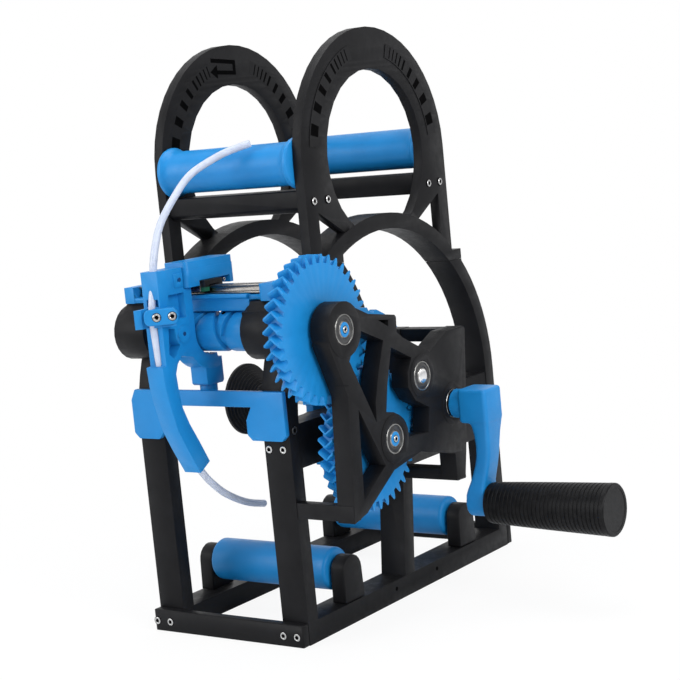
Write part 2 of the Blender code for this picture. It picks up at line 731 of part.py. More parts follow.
def make_side_frame(name, side):
    """Arch, legs and floor beam of one side, in one piece with the drum's housing."""
    top = SEAM_Z - SEAT
    ledge_z = ring_height(RING_RADIUS, LEDGE_OUTER)
    right = [(RING_RADIUS, 0.0)]
    right += arc((0.0, RING_Z), RING_RADIUS, 0.0, ring_angle(RING_RADIUS, ledge_z))
    right += [(LEDGE_OUTER, top)]
    right += list(reversed(arc((0.0, RING_Z), RING_INNER, 0.0, ring_angle(RING_INNER, top))))
    right += [(RING_INNER, BASE_HEIGHT)]
    outline = right + mirrored(right)
    start, end = sorted((side * INNER_X, side * HALF_WIDTH))
    frame = sheet(name, [outline], "X", start, end)
    if side > 0:
        add_right_webs(frame)
        housing = (HOUSING_RIGHT_START_X, HALF_WIDTH + FRAME_SET_BACK)
    else:
        housing = (HOUSING_LEFT_START_X, -INNER_X + FRAME_SET_BACK)
    join(frame, rod(name + "_housing", "X", DRUM_AXIS, HOUSING_RADIUS, *housing))
    add_saddle(frame, name, side)
    cut(frame, rod(name + "_shaft_way", "X", DRUM_AXIS, BEARING_BORE + SOFT_EDGE,
                   housing[0] + (SOFT_EDGE * 2 if side < 0 else -SOFT_EDGE),
                   housing[1] + SOFT_EDGE, SMALL_STEPS))
    pocket_x = drum_bearing_start(side)
    cut(frame, rod(name + "_pocket", "X", DRUM_AXIS, BEARING_RADIUS + SEAT,
                   pocket_x - (SEAT if side < 0 else SOFT_EDGE),
                   pocket_x + BEARING_WIDTH + (SOFT_EDGE if side < 0 else SEAT), SMALL_STEPS))
    finish(frame, "black_plastic")
    return frame


def add_saddle(frame, name, side):
    """Tapered top of a drum housing, on which the rail's beam rests."""
    foot = DRUM_Z + SADDLE_FOOT_RISE
    top = BEAM_BLOCK_BOTTOM_Z - SEAT
    saddle = [(DRUM_Y - SADDLE_FOOT_HALF, foot), (DRUM_Y + SADDLE_FOOT_HALF, foot),
              (DRUM_Y + SADDLE_HALF, top), (DRUM_Y - SADDLE_HALF, top)]
    start, end = sorted((side * (INNER_X + FRAME_SET_BACK), side * (HALF_WIDTH - FRAME_SET_BACK)))
    join(frame, sheet(name + "_saddle", [saddle], "X", start, end))
    if side > 0:
        join(frame, block(name + "_shoulder",
                          (HOUSING_RIGHT_START_X + FRAME_SET_BACK,
                           DRUM_Y - HOUSING_SHOULDER_HALF, DRUM_Z),
                          (HALF_WIDTH - FRAME_SET_BACK * 2, DRUM_Y + HOUSING_SHOULDER_HALF,
                           DRUM_Z + HOUSING_SHOULDER_RISE)))


def drum_bearing_start(side):
    """Where the drum's bearing begins: flush with the inner end of each housing."""
    if side > 0:
        return HOUSING_RIGHT_START_X
    return -INNER_X + FRAME_SET_BACK - BEARING_WIDTH


def add_right_webs(frame):
    """Leaning post, the webs that meet it and the bosses for the crank and idler shafts."""
    near = INNER_X + FRAME_SET_BACK
    far = HALF_WIDTH - FRAME_SET_BACK
    foot = MIDDLE_POST_FOOT_Y
    head = MIDDLE_POST_HEAD_Y
    sink = BASE_HEIGHT - SOFT_EDGE
    post = [(foot - MIDDLE_POST_HALF, sink), (foot + MIDDLE_POST_HALF, sink),
            (head + MIDDLE_POST_HALF, RING_Z + MIDDLE_POST_RISE),
            (head - MIDDLE_POST_HALF, RING_Z + MIDDLE_POST_RISE)]
    reach = RING_INNER + SOFT_EDGE
    rear_low = RING_Z - REAR_WEB_BOTTOM_DROP
    rear_high = RING_Z - REAR_WEB_TOP_DROP
    rear = [(0.0, rear_low), (reach, rear_low), (reach, rear_high), (0.0, rear_high)]
    front_low = RING_Z - FRONT_WEB_BOTTOM_DROP
    front_high = RING_Z + FRONT_WEB_TOP_RISE
    front = [(-reach, front_low), (0.0, front_low), (0.0, front_high), (-reach, front_high)]
    step = FRAME_SET_BACK
    join(frame, sheet("middle_post", [post], "X", near, far))
    join(frame, sheet("rear_web", [rear], "X", near + step, far - step))
    join(frame, sheet("front_web", [front], "X", near + step * 2, far - step * 2))
    join(frame, rod("crank_hub", "X", CRANK_AXIS, HUB_RADIUS, HUB_START_X, HUB_END_X))
    join(frame, rod("idler_hub", "X", IDLER_AXIS, IDLER_HOUSING_RADIUS,
                    IDLER_HOUSING_START_X, IDLER_HOUSING_END_X))
    over = SOFT_EDGE
    way = BEARING_BORE + SOFT_EDGE
    pocket = BEARING_RADIUS + SEAT
    for axis, start, end, label in ((CRANK_AXIS, HUB_START_X, HUB_END_X, "crank"),
                                    (IDLER_AXIS, IDLER_HOUSING_START_X,
                                     IDLER_HOUSING_END_X, "idler")):
        cut(frame, rod(label + "_way", "X", axis, way, start - over, end + over, SMALL_STEPS))
        cut(frame, rod(label + "_pocket", "X", axis, pocket,
                       end - BEARING_WIDTH - SEAT, end + over, SMALL_STEPS))


def make_upper_frame(name, side):
    """Arch plate on its posts and struts, in one piece with the top of the ring."""
    middle = RING_RADIUS - RING_BAND / 2
    centre = Vector((0.0, RING_Z))
    opening = Vector((0.0, ARCH_Z))
    crossing = meeting_point(centre, middle, opening, OPENING_RADIUS, -1)
    low = math.degrees(math.atan2(crossing.y - ARCH_Z, crossing.x))
    ring_end = math.degrees(math.atan2(crossing.y - RING_Z, crossing.x))
    foot_z = ring_height(middle, POST_INNER)
    foot_outer_z = ring_height(middle, ARCH_RADIUS)
    outer = [(ARCH_RADIUS, foot_outer_z)]
    outer += arc(opening, ARCH_RADIUS, 0.0, 180.0, ROUND_STEPS)
    outer += [(-ARCH_RADIUS, foot_outer_z)]
    left_low = arc(centre, middle, 180.0 - ring_angle(middle, foot_z), 180.0 - ring_end,
                   ARC_STEPS // 2)
    inner = arc(opening, OPENING_RADIUS, 180.0 - low, low, ROUND_STEPS)
    right_low = [(-u, v) for u, v in reversed(left_low)]
    outer += left_low + inner[1:-1] + right_low
    loops = [outer]
    for hand in (-1, 1):
        loops.append([(hand * POST_INNER, ARCH_Z - WINDOW_TOP_DROP),
                      (hand * STRUT_FOOT_Y, ring_height(RING_RADIUS, STRUT_FOOT_Y)),
                      (hand * POST_INNER, ring_height(RING_RADIUS, POST_INNER))])
        for index in range(SLOT_COUNT):
            angle = 90.0 - hand * (SLOT_FIRST_ANGLE + index * SLOT_STEP_ANGLE)
            loops.append(slot_corners(opening, angle))
    far = HALF_WIDTH - FRAME_SET_BACK
    start, end = sorted((side * (HALF_WIDTH - UPPER_THICKNESS), side * far))
    plate = sheet(name, loops, "X", start, end)
    ring_right = [(LEDGE_OUTER, SEAM_Z), (LEDGE_OUTER, LEDGE_TOP), (LEDGE_INNER, LEDGE_TOP)]
    ring_right += arc((0.0, RING_Z), RING_RADIUS,
                      ring_angle(RING_RADIUS, ring_height(RING_RADIUS, LEDGE_INNER)), 90.0)[1:]
    inner_top = arc((0.0, RING_Z), RING_INNER, ring_angle(RING_INNER, SEAM_Z), 90.0)
    ring = ring_right + mirrored(ring_right)[1:]
    ring += [(-u, v) for u, v in inner_top] + list(reversed(inner_top))[1:]
    start, end = sorted((side * INNER_X, side * HALF_WIDTH))
    join(plate, sheet(name + "_ring", [ring], "X", start, end))
    for hand in (-1, 1):
        way = rod(name + "_axle_way", "X", (hand * TOP_ROLLER_Y, TOP_ROLLER_Z),
                  AXLE_RADIUS + SEAT, *sorted((side * (INNER_X + UPPER_THICKNESS),
                                               side * (HALF_WIDTH - UPPER_THICKNESS / 2))),
                  SMALL_STEPS)
        cut(plate, way)
    finish(plate, "black_plastic")
    return plate


def slot_corners(centre, angle):
    """Corners of one slot that points along a radius of the arch."""
    turn = math.radians(angle)
    ahead = Vector((math.cos(turn), math.sin(turn)))
    aside = Vector((-ahead.y, ahead.x))
    middle = centre + ahead * (ARCH_RADIUS + OPENING_RADIUS) / 2
    reach = ahead * SLOT_LENGTH / 2
    half = aside * SLOT_WIDTH / 2
    return [tuple(middle - reach - half), tuple(middle + reach - half),
            tuple(middle + reach + half), tuple(middle - reach + half)]


def make_base_bar(name, side):
    near = RING_RADIUS + SEAT
    low, high = sorted((side * near, side * (near + BAR_THICKNESS)))
    bar = block(name, (-HALF_WIDTH, low, 0.0), (HALF_WIDTH, high, BAR_HEIGHT), SMALL_EDGE)
    finish(bar, "black_plastic")


def make_crossbar(name, side):
    reach = HALF_WIDTH - UPPER_THICKNESS - SEAT
    profile = [
        (CROSSBAR_INNER, CROSSBAR_BOTTOM), (CROSSBAR_OUTER - CROSSBAR_CHAMFER, CROSSBAR_BOTTOM),
        (CROSSBAR_OUTER, CROSSBAR_BOTTOM + CROSSBAR_LIP), (CROSSBAR_OUTER, CROSSBAR_TOP),
        (CROSSBAR_INNER, CROSSBAR_TOP)]
    if side < 0:
        profile = mirrored(profile)
    bar = sheet(name, [profile], "X", -reach, reach)
    soften(bar, SMALL_EDGE)
    finish(bar, "black_plastic")


def make_top_roller(name, side):
    """Flared roller between the arch plates, turning on its axle."""
    end = HALF_WIDTH - UPPER_THICKNESS - RUNNING_GAP
    flange = end - ROLLER_FLANGE_WIDTH
    neck = flange - ROLLER_CHAMFER * 2
    outer = [(ROLLER_FLANGE_RADIUS, end), (ROLLER_FLANGE_RADIUS, flange),
             (ROLLER_RADIUS, neck), (ROLLER_RADIUS, -neck),
             (ROLLER_FLANGE_RADIUS, -flange), (ROLLER_FLANGE_RADIUS, -end)]
    make_roller_on_axle(name, outer, (side * TOP_ROLLER_Y, TOP_ROLLER_Z), end,
                        HALF_WIDTH - UPPER_THICKNESS / 2 - SEAT)


def make_low_roller(name, side):
    end = LOW_ROLLER_HALF
    shoulder = end - ROLLER_CHAMFER
    outer = [(ROLLER_RADIUS - ROLLER_CHAMFER, end), (ROLLER_RADIUS, shoulder),
             (ROLLER_RADIUS, -shoulder), (ROLLER_RADIUS - ROLLER_CHAMFER, -end)]
    make_roller_on_axle(name, outer, (side * LOW_ROLLER_Y, LOW_ROLLER_Z), end,
                        BRACKET_OUTER_X - SOFT_EDGE * 2)


def make_roller_on_axle(name, outer, centre, end, axle_end):
    profile = outer + [(ROLLER_BORE, -end), (ROLLER_BORE, end)]
    roller = turned(name, profile, "X", centre, FINE_STEPS, closed=True)
    finish(roller, "blue_plastic")
    axle = rod(name + "_axle", "X", centre, AXLE_RADIUS, -axle_end, axle_end, SMALL_STEPS)
    set_origin(axle, (0.0, *centre))
    finish(axle, "bearing_steel")


def make_bracket(name, side, hand):
    """Round-topped bracket that holds one end of a lower roller's axle."""
    centre = (hand * LOW_ROLLER_Y, LOW_ROLLER_Z)
    outline = [(centre[0] - BRACKET_FOOT, BASE_HEIGHT + SEAT),
               (centre[0] + BRACKET_FOOT, BASE_HEIGHT + SEAT)]
    outline += arc(centre, BRACKET_RADIUS, 0.0, 180.0)
    start, end = sorted((side * BRACKET_INNER_X, side * BRACKET_OUTER_X))
    bracket = sheet(name, [outline], "X", start, end)
    soften(bracket, SMALL_EDGE)
    way = sorted((side * (BRACKET_INNER_X - SOFT_EDGE), side * (BRACKET_OUTER_X - SOFT_EDGE)))
    cut(bracket, rod(name + "_way", "X", centre, AXLE_RADIUS + SEAT, *way, SMALL_STEPS))
    finish(bracket, "black_plastic")


def involute(angle):
    return math.tan(angle) - angle


def gear_ring(teeth, phase):
    """Outline of the tooth ends, counterclockwise about the gear's axis."""
    pitch = MODULE * teeth / 2
    pressure = math.radians(PRESSURE_ANGLE)
    base = pitch * math.cos(pressure)
    root = pitch - MODULE * DEDENDUM_SHARE
    tip = pitch + MODULE * ADDENDUM_SHARE
    half_pitch = math.pi / (2 * teeth) - BACKLASH / (2 * pitch)
    ring = []
    for tooth in range(teeth):
        middle = phase + math.tau * tooth / teeth
        flank = []
        for radius in (root, pitch, tip):
            angle = math.acos(min(WHOLE_SHARE, base / max(radius, base)))
            flank.append((radius, half_pitch + involute(pressure) - involute(angle)))
        for radius, half in flank:
            ring.append((radius * math.cos(middle - half), radius * math.sin(middle - half)))
        for radius, half in reversed(flank):
            ring.append((radius * math.cos(middle + half), radius * math.sin(middle + half)))
    return ring


def make_gear(name, centre, teeth, phase, hand, sleeve_start):
    """Herringbone gear on its sleeve: the teeth lean one way to the middle and back again."""
    pitch = MODULE * teeth / 2
    twist = hand * GEAR_WIDTH / 2 * math.tan(math.radians(HELIX_ANGLE)) / pitch
    layers = [(GEAR_START_X, phase), (GEAR_MIDDLE_X, phase + twist), (GEAR_END_X, phase)]
    bm = bmesh.new()
    rings = []
    for along, angle in layers:
        ring = gear_ring(teeth, angle)
        rings.append([bm.verts.new((along, centre[0] + u, centre[1] + v)) for u, v in ring])
    for lower, upper in zip(rings, rings[1:]):
        add_wall(bm, lower, upper)
    bore = SLEEVE_RADIUS + SEAT
    bores = []
    for (along, _), ring in ((layers[0], rings[0]), (layers[-1], rings[-1])):
        inner = []
        for root in ring[::len(ring) // teeth]:
            ahead = Vector((root.co.y - centre[0], root.co.z - centre[1])).normalized() * bore
            inner.append(bm.verts.new((along, centre[0] + ahead.x, centre[1] + ahead.y)))
        add_end_face(bm, ring, inner)
        bores.append(inner)
    add_wall(bm, *bores)
    bmesh.ops.triangulate(bm, faces=bm.faces)
    gear = link_mesh(name, bm)
    set_origin(gear, (GEAR_MIDDLE_X, *centre))
    finish(gear, "blue_plastic")
    end = PLATE_START_X - RUNNING_GAP
    sleeve = turned(name + "_sleeve", [
        (SLEEVE_RADIUS, end), (SLEEVE_RADIUS, sleeve_start), (SLEEVE_BORE, sleeve_start),
        (SLEEVE_BORE, end)], "X", centre, SMALL_STEPS, closed=True)
    finish(sleeve, "blue_plastic")


def add_wall(bm, lower, upper):
    """Band of faces between two closed rings with as many corners each."""
    count = len(lower)
    for i in range(count):
        j = (i + 1) % count
        bm.faces.new((lower[i], lower[j], upper[j], upper[i]))


def add_end_face(bm, ring, inner):
    """End of a gear: each tooth in two faces, then the web from the roots to the bore."""
    teeth = len(inner)
    for tooth in range(teeth):
        root, flank, tip, far_tip, far_flank, far_root = ring[tooth * 6:tooth * 6 + 6]
        after = (tooth + 1) % teeth
        bm.faces.new((root, flank, far_flank, far_root))
        bm.faces.new((flank, tip, far_tip, far_flank))
        bm.faces.new((inner[tooth], root, far_root, inner[after]))
        bm.faces.new((far_root, ring[after * 6], inner[after]))


def meshing_phase(phase, centre, teeth, other_centre, other_teeth):
    """Phase of a second gear whose gap stands where the first gear's tooth does."""
    line = math.atan2(other_centre[1] - centre[1], other_centre[0] - centre[0])
    step = math.tau / teeth
    offset = (phase - line) % step
    if offset > step / 2:
        offset -= step
    other_offset = offset * teeth / other_teeth
    return line + math.pi - other_offset + math.pi / other_teeth


def make_gears():
    idler_phase = 0.0
    drum_phase = meshing_phase(idler_phase, IDLER_AXIS, LARGE_TEETH, DRUM_AXIS, LARGE_TEETH)
    crank_phase = meshing_phase(idler_phase, IDLER_AXIS, LARGE_TEETH, CRANK_AXIS, SMALL_TEETH)
    make_gear("drum_gear", DRUM_AXIS, LARGE_TEETH, drum_phase, -1, HALF_WIDTH + RUNNING_GAP * 2)
    make_gear("idler_gear", IDLER_AXIS, LARGE_TEETH, idler_phase, 1,
              IDLER_HOUSING_END_X + RUNNING_GAP)
    make_gear("crank_gear", CRANK_AXIS, SMALL_TEETH, crank_phase, -1, HUB_END_X + RUNNING_GAP)


def make_gear_plate():
    """Windowed plate outside the gears, with the three bars that hold it off the frame."""
    outline = shares_at(PLATE_SHARES, CRANK_AXIS, PLATE_SPAN)
    windows = [shares_at(table, CRANK_AXIS, PLATE_SPAN) for table in WINDOW_SHARES]
    plate = sheet("gear_plate", [outline] + windows, "X",
                  PLATE_START_X + FRAME_SET_BACK, PLATE_END_X - FRAME_SET_BACK)
    bosses = ((DRUM_AXIS, BOSS_RADIUS), (CRANK_AXIS, CRANK_BOSS_RADIUS),
              (IDLER_AXIS, IDLER_BOSS_RADIUS), (SPARE_AXIS, SPARE_BOSS_RADIUS))
    for index, (axis, radius) in enumerate(bosses):
        join(plate, rod("plate_boss_%d" % index, "X", axis, radius,
                        PLATE_START_X, PLATE_END_X))
    add_plate_bars(plate)
    for index, (axis, radius) in enumerate(bosses):
        cut(plate, rod("plate_way_%d" % index, "X", axis, BEARING_BORE + SOFT_EDGE,
                       PLATE_START_X - SOFT_EDGE, PLATE_END_X, SMALL_STEPS))
        cut(plate, rod("plate_pocket_%d" % index, "X", axis, BEARING_RADIUS + SEAT,
                       PLATE_END_X - BEARING_WIDTH - SEAT, PLATE_END_X + SOFT_EDGE,
                       SMALL_STEPS))
    finish(plate, "black_plastic")


def add_plate_bars(plate):
    for label, (u, v, half_u, half_v) in PLATE_BAR_SHARES.items():
        corners = [(u - half_u, v - half_v), (u + half_u, v + half_v)]
        low, high = shares_at(corners, CRANK_AXIS, PLATE_SPAN)
        join(plate, block("plate_bar_" + label, (SPACER_START_X, *low),
                          (PLATE_END_X - FRAME_SET_BACK * 2, *high)))


def make_bearing(name, axis, start, shielded=False):
    """Ball bearing as one ring, its shield sunk a little where the face can be seen."""
    end = start + BEARING_WIDTH
    wall = BEARING_RADIUS - BEARING_BORE
    profile = [(BEARING_RADIUS, end), (BEARING_RADIUS, start), (BEARING_BORE, start),
               (BEARING_BORE, end)]
    if shielded:
        core = BEARING_BORE + wall * BEARING_CORE_SHARE
        race = BEARING_BORE + wall * BEARING_RACE_SHARE
        profile += [(core, end), (core, end - BEARING_GROOVE), (race, end - BEARING_GROOVE),
                    (race, end)]
    ring = turned(name, profile, "X", axis, SMALL_STEPS, closed=True)
    finish(ring, "bearing_steel")


def make_bearings():
    start = PLATE_END_X - BEARING_WIDTH
    make_bearing("bearing_drum_outer", DRUM_AXIS, start, True)
    make_bearing("bearing_idler_outer", IDLER_AXIS, start, True)
    make_bearing("bearing_spare", SPARE_AXIS, start, True)
    make_bearing("bearing_crank_outer", CRANK_AXIS, start, True)
    make_bearing("bearing_drum_right", DRUM_AXIS, drum_bearing_start(1))
    make_bearing("bearing_drum_left", DRUM_AXIS, drum_bearing_start(-1))
    make_bearing("bearing_crank_hub", CRANK_AXIS, HUB_END_X - BEARING_WIDTH)
    make_bearing("bearing_idler_inner", IDLER_AXIS, IDLER_HOUSING_END_X - BEARING_WIDTH)


def make_shaft(name, axis, start, end, kind="bearing_steel"):
    shaft = rod(name, "X", axis, SHAFT_RADIUS - SHAFT_CLEARANCE, start, end, SMALL_STEPS)
    set_origin(shaft, (end, *axis))
    finish(shaft, kind)


def track_place(turn, direction):
    """Place along the drum of one crossed track at an angle, easing round at each end."""
    share = turn / (TRACK_TURNS * math.tau)
    eased = share - math.sin(math.tau * share) * HALF_SHARE / math.tau
    along = (eased * 2 - WHOLE_SHARE) * TRACK_HALF
    return TRACK_CENTRE_X + along * direction


def make_track_cutter(name, direction):
    """Square bar bent into one hand of the drum's crossed track."""
    steps = round(TRACK_STEPS * TRACK_TURNS)
    bm = bmesh.new()
    inner = DRUM_RADIUS - TRACK_DEPTH
    outer = DRUM_RADIUS + TRACK_DEPTH
    half = TRACK_WIDTH / 2
    start = math.radians(TRACK_START_ANGLE)
    if direction < 0:
        start += TRACK_TURNS * math.tau
    sections = []
    for i in range(steps + 1):
        turn = TRACK_TURNS * math.tau * i / steps
        middle = track_place(turn, direction)
        ahead = Vector((math.cos(start + turn), math.sin(start + turn)))
        corners = ((inner, -half), (outer, -half), (outer, half), (inner, half))
        sections.append([bm.verts.new((middle + shift, DRUM_Y + ahead.x * radius,
                                       DRUM_Z + ahead.y * radius))
                         for radius, shift in corners])
    for one, two in zip(sections, sections[1:]):
        for i in range(4):
            j = (i + 1) % 4
            bm.faces.new((one[i], one[j], two[j], two[i]))
    bm.faces.new(sections[0])
    bm.faces.new(sections[-1])
    bmesh.ops.triangulate(bm, faces=bm.faces)
    return link_mesh(name, bm)


def make_drum():
    """Cam drum with two crossed tracks, turned by its gear on one shaft."""
    drum = rod("cam_drum", "X", DRUM_AXIS, DRUM_RADIUS, DRUM_START_X, DRUM_END_X, FINE_STEPS)
    cut(drum, make_track_cutter("track_forward", 1), make_track_cutter("track_back", -1))
    cut(drum, rod("drum_bore", "X", DRUM_AXIS, SLEEVE_BORE, DRUM_START_X - SOFT_EDGE,
                  DRUM_END_X + SOFT_EDGE, SMALL_STEPS))
    set_origin(drum, (0.0, *DRUM_AXIS))
    finish(drum, "blue_plastic")
    make_shaft("drum_shaft", DRUM_AXIS, drum_bearing_start(-1), PLATE_END_X - SMALL_EDGE)
    make_shaft("idler_shaft", IDLER_AXIS, IDLER_HOUSING_START_X, PLATE_END_X - SMALL_EDGE)


def make_spool_shaft():
    """Driven shaft with its spool flange, centring cone and wing nut."""
    make_shaft("spool_shaft", CRANK_AXIS, SHAFT_END_X, CRANK_HUB_START_X + SOFT_EDGE * 4)
    bore = SHAFT_RADIUS
    outline = []
    for notch in range(FLANGE_NOTCHES):
        for step, share in FLANGE_NOTCH_SHARES:
            angle = math.tau * (notch + step) / FLANGE_NOTCHES
            outline.append((CRANK_Y + FLANGE_RADIUS * share * math.cos(angle),
                            CRANK_Z + FLANGE_RADIUS * share * math.sin(angle)))
    flange = sheet("spool_flange", [outline], "X", FLANGE_START_X, FLANGE_END_X)
    join(flange, rod("flange_hub", "X", CRANK_AXIS, FLANGE_HUB_RADIUS, FLANGE_HUB_START_X,
                     FLANGE_END_X - FRAME_SET_BACK))
    cut(flange, rod("flange_bore", "X", CRANK_AXIS, bore, FLANGE_HUB_START_X - SOFT_EDGE,
                    FLANGE_END_X + SOFT_EDGE, SMALL_STEPS))
    set_origin(flange, (FLANGE_END_X, *CRANK_AXIS))
    finish(flange, "blue_plastic")
    profile = [(CONE_RADIUS, CONE_END_X)]
    length = CONE_END_X - CONE_START_X
    for index in range(CONE_STEPS):
        share = (index + HALF_SHARE) / CONE_STEPS
        radius = CONE_RADIUS + (CONE_TIP_RADIUS - CONE_RADIUS) * share
        profile.append((radius + CONE_RIB, CONE_END_X - length * share))
        share = (index + WHOLE_SHARE) / CONE_STEPS
        radius = CONE_RADIUS + (CONE_TIP_RADIUS - CONE_RADIUS) * share
        profile.append((radius - CONE_RIB, CONE_END_X - length * share))
    profile += [(bore, CONE_START_X), (bore, CONE_END_X)]
    cone = turned("spool_cone", profile, "X", CRANK_AXIS, ROUND_STEPS, closed=True)
    finish(cone, "black_plastic")
    make_wing_nut(bore)


def make_wing_nut(bore):
    nut = rod("wing_nut", "X", CRANK_AXIS, NUT_HUB_RADIUS, NUT_START_X, NUT_END_X, SMALL_STEPS)
    for index in range(2):
        turn = math.radians(NUT_WING_ANGLE + 180.0 * index)
        wing = wing_outline(turn)
        middle = (NUT_START_X + NUT_END_X) / 2
        join(nut, sheet("nut_wing_%d" % index, [wing], "X", middle - NUT_WING_THICKNESS / 2,
                        middle + NUT_WING_THICKNESS / 2))
    cut(nut, rod("nut_bore", "X", CRANK_AXIS, bore, NUT_START_X - SOFT_EDGE,
                 NUT_END_X + SOFT_EDGE, SMALL_STEPS))
    set_origin(nut, (NUT_END_X, *CRANK_AXIS))
    finish(nut, "black_plastic")


def wing_outline(turn):
    """One wing of the nut, widening a little outwards and round at its end."""
    ahead = Vector((math.cos(turn), math.sin(turn)))
    aside = Vector((-ahead.y, ahead.x))
    root = CRANK_AXIS + ahead * NUT_HUB_RADIUS * HALF_SHARE
    tip = CRANK_AXIS + ahead * (NUT_REACH - NUT_WING_TIP)
    start = math.degrees(turn)
    points = [tuple(root + aside * NUT_WING_WIDTH / 2), tuple(root - aside * NUT_WING_WIDTH / 2)]
    return points + arc(tip, NUT_WING_TIP, start - 90.0, start + 90.0, ARC_STEPS // 2)


def make_crank():
    """Crank arm cut from two outlines, with its hub, its eye and the grip that turns on it."""
    top = CRANK_Z + CRANK_BLOCK_HALF
    under = CRANK_Z - CRANK_BLOCK_HALF
    eye_bottom = GRIP_Z - CRANK_EYE_RADIUS
    eye_top = GRIP_Z + CRANK_EYE_RADIUS
    over = top + SOFT_EDGE
    below = eye_bottom - SOFT_EDGE
    front = [(CRANK_BLOCK_START_X, over), (CRANK_BLOCK_START_X, under),
             (CRANK_NECK_START_X + SOFT_EDGE, under), (CRANK_NECK_START_X, CRANK_NECK_Z),
             (CRANK_BEND_START_X, CRANK_BEND_Z), (CRANK_EYE_START_X, eye_top),
             (CRANK_EYE_START_X, below), (CRANK_EYE_END_X, below),
             (CRANK_EYE_END_X, eye_top), (CRANK_BEND_END_X, CRANK_BEND_Z),
             (CRANK_NECK_END_X, CRANK_NECK_Z), (CRANK_BLOCK_END_X, under),
             (CRANK_BLOCK_END_X, over)]
    side = [(CRANK_Y + CRANK_BLOCK_HALF - SOFT_EDGE, top), (CRANK_Y - CRANK_BLOCK_HALF
                                                            + SOFT_EDGE, top),
            (CRANK_Y - CRANK_BLOCK_HALF, top - SOFT_EDGE), (CRANK_Y - CRANK_BLOCK_HALF, under),
            (CRANK_Y - CRANK_WAIST_HALF, CRANK_NECK_Z)]
    side += arc(GRIP_AXIS, CRANK_EYE_RADIUS, 180.0, 360.0)
    side += [(CRANK_Y + CRANK_WAIST_HALF, CRANK_NECK_Z), (CRANK_Y + CRANK_BLOCK_HALF, under),
             (CRANK_Y + CRANK_BLOCK_HALF, top - SOFT_EDGE)]
    reach = CRANK_BLOCK_HALF + SOFT_EDGE
    arm = sheet("crank_arm", [front], "Y", CRANK_Y - reach, CRANK_Y + reach)
    combine(arm, sheet("crank_side", [side], "X", CRANK_HUB_START_X, CRANK_BLOCK_END_X
                       + SOFT_EDGE), "INTERSECT")
    join(arm, rod("crank_boss", "X", CRANK_AXIS, CRANK_HUB_RADIUS, CRANK_HUB_START_X,
                  CRANK_BLOCK_START_X + SOFT_EDGE))
    cut(arm, rod("crank_socket", "X", CRANK_AXIS, SHAFT_RADIUS, CRANK_HUB_START_X - SOFT_EDGE,
                 CRANK_HUB_START_X + SOFT_EDGE * 5, SMALL_STEPS))
    cut(arm, rod("crank_eye", "X", GRIP_AXIS, EYE_BORE, CRANK_EYE_START_X - SOFT_EDGE,
                 CRANK_EYE_END_X + SOFT_EDGE, SMALL_STEPS))
    set_origin(arm, (CRANK_HUB_START_X, *CRANK_AXIS))
    finish(arm, "blue_plastic")
    make_grip()


def grip_radius(share):
    return GRIP_START_RADIUS + (GRIP_END_RADIUS - GRIP_START_RADIUS) * share


def make_grip():
    """Ribbed grip, wider at its end, that turns on a bolt through the crank's eye."""
    length = GRIP_END_X - GRIP_START_X
    end = GRIP_END_X
    edge = grip_radius(WHOLE_SHARE)
    profile = [(0.0, end), (edge - SOFT_EDGE, end), (edge, end - SOFT_EDGE)]
    for rib in range(GRIP_RIBS, 0, -1):
        for offset, depth_share in GRIP_RIB_SHARES:
            share = (rib - offset) / (GRIP_RIBS + HALF_SHARE)
            profile.append((grip_radius(share) - GRIP_RIB_DEPTH * depth_share,
                            GRIP_START_X + length * share))
    start = grip_radius(0.0)
    floor = GRIP_START_X + GRIP_BORE_DEPTH
    profile += [(start, GRIP_START_X + SOFT_EDGE), (start - SOFT_EDGE, GRIP_START_X),
                (GRIP_BORE, GRIP_START_X), (GRIP_BORE, floor), (0.0, floor)]
    grip = turned("crank_grip", profile, "X", GRIP_AXIS, ROUND_STEPS)
    finish(grip, "black_plastic")
    tip = floor - RUNNING_GAP
    seat = CRANK_EYE_START_X - SEAT
    head = seat - BOLT_HEAD_LENGTH
    bolt = turned("grip_bolt", [
        (0.0, tip), (GRIP_BOLT_RADIUS, tip), (GRIP_BOLT_RADIUS, seat),
        (BOLT_HEAD_RADIUS, seat), (BOLT_HEAD_RADIUS, head), (0.0, head)],
        "X", GRIP_AXIS, SMALL_STEPS)
    finish(bolt, "bearing_steel")


